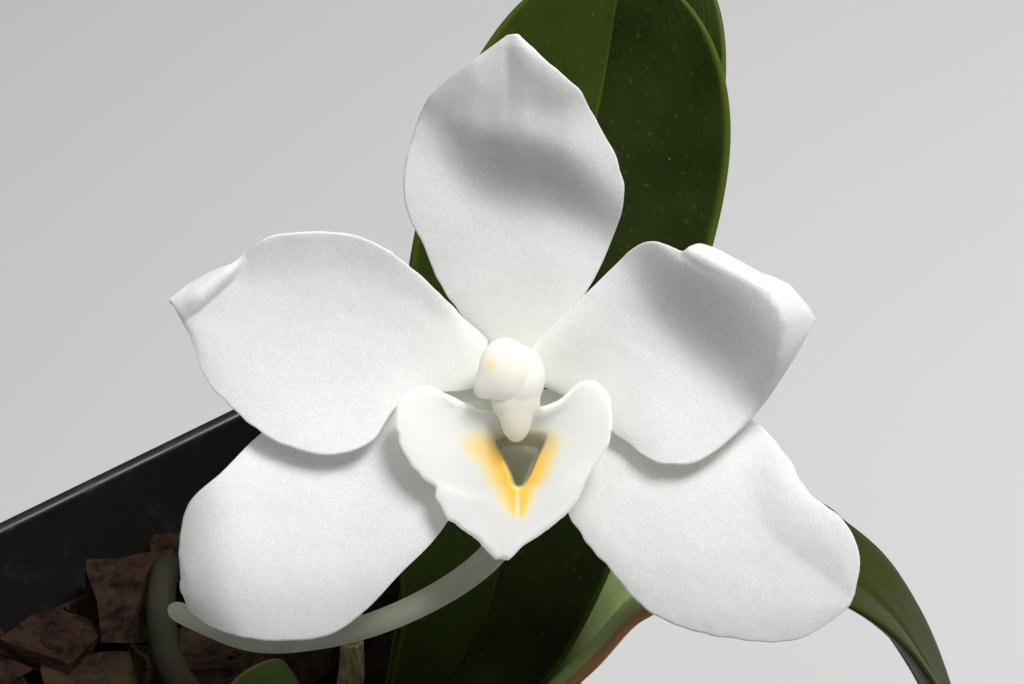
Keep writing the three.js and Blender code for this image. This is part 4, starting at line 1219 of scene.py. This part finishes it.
column_finish = Finish("column_wax", {
    "Roughness": 0.45, "Subsurface Weight": 0.4, "Subsurface Radius": (0.0012, 0.0011, 0.0009),
    "Subsurface Scale": 1.0,
})
pollen = column_finish.stored("pollen")
green = column_finish.stored("green")
brown = column_finish.stored("brown")
cream = column_finish.mix(green, COLUMN_WHITE, COLUMN_CREAM)
cream = column_finish.mix(brown, cream, BRIM_BROWN)
column_finish.set({
    "Base Color": column_finish.mix(pollen, cream, POLLEN_YELLOW),
    "Normal": column_finish.relief(column_finish.grain(700.0, 2.0), 0.00008, 0.25),
})
column_finish.let_through((1.0 - pollen * 0.8) * 0.6, COLUMN_GLOW)


def column_readings(piece):
    x, y, z = to_face(piece)
    left_mass = 0.8 * np.exp(-(((x + 1.7) / 0.45) ** 2 + ((y - 1.85 + 0.4 * (x + 1.7)) / 0.6) ** 2))
    right_mass = 0.5 * np.exp(-(((x + 0.38) / 0.4) ** 2 + ((y - 1.95) / 0.5) ** 2))
    brown = 0.9 * bump(np.hypot(x - BRIM_TIP[0], y - BRIM_TIP[1]), 0.22)
    store(piece, {"pollen": (left_mass + right_mass) * (z > 2), "green": rise(-y, -0.2, 2.5), "brown": brown})


post_rings = [oval(COLUMN_CENTRE, (radius, radius), z, COLUMN_SIDES) for radius, z in COLUMN_PROFILE]
column = face_piece("column_post", post_rings, column_finish)
joins = []
for name, centre, radii in COLUMN_SWELLINGS:
    joins.append(("UNION", face_piece(name, egg(centre, radii), column_finish)))
joins.append(("DIFFERENCE", face_piece("seat", cap_rings(SEAT_GAP), column_finish)))
grow_together(column, joins, COLUMN_VOXEL, COLUMN_SMOOTHING, column_finish)
column_readings(column)
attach(column, "root")
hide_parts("column")

cap = face_piece("cap_hood", cap_rings(0), column_finish)
column_readings(cap)
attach(cap, "root")
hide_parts("anther_cap")

# Stage: a plain pale floor, one large soft light from the upper right, a weak fill from above, and a
# camera in front of the flower that looks down on it as in the photograph.
CAMERA_LENS = 145.5
FLOOR_HALF = 3000.0
FLOOR_GREY = (0.5, 0.5, 0.5, 1)
WORLD_LIGHT = 0.11
LAMPS = {
    "key": {"direction": (0.36, 0.68, 0.64), "distance": 420.0, "size": 160.0, "watts": 3.1},
    "fill": {"direction": (-0.25, 0.6, 0.75), "distance": 500.0, "size": 300.0, "watts": 0.6},
}

floor_finish = Finish("floor_paper", {"Roughness": 0.9, "Base Color": FLOOR_GREY})
floor = flat_patch("floor", FLOOR_HALF, 0, floor_finish)


def soft_light(name, direction, distance, size, watts):
    aim = Vector(from_face([(0, 0, 0)])[0]) * MM
    outward = Vector(face_turn @ Vector(direction)).normalized()
    lamp = bpy.data.lights.new(name, "AREA")
    lamp.shape = "DISK"
    lamp.size = size * MM
    lamp.energy = watts
    holder = bpy.data.objects.new(name, lamp)
    holder.location = aim + outward * distance * MM
    holder.rotation_euler = outward.to_track_quat("Z", "Y").to_euler()
    bpy.context.scene.collection.objects.link(holder)


for name, lamp in LAMPS.items():
    soft_light(name, **lamp)
world = bpy.data.worlds.new("studio")
bpy.context.scene.world = world
world.use_nodes = True
world.node_tree.nodes["Background"].inputs["Color"].default_value = (1, 1, 1, 1)
world.node_tree.nodes["Background"].inputs["Strength"].default_value = WORLD_LIGHT

camera_data = bpy.data.cameras.new("camera")
camera_data.lens = CAMERA_LENS
camera_data.clip_start = 0.01
camera = bpy.data.objects.new("camera", camera_data)
bpy.context.scene.collection.objects.link(camera)
eye = Vector(from_face([(*SEEN_AT, SEEN_FROM)])[0]) * MM
camera.matrix_world = Matrix.Translation(eye) @ face_turn.to_4x4()
bpy.context.scene.camera = camera
bpy.context.scene.view_settings.view_transform = "Standard"
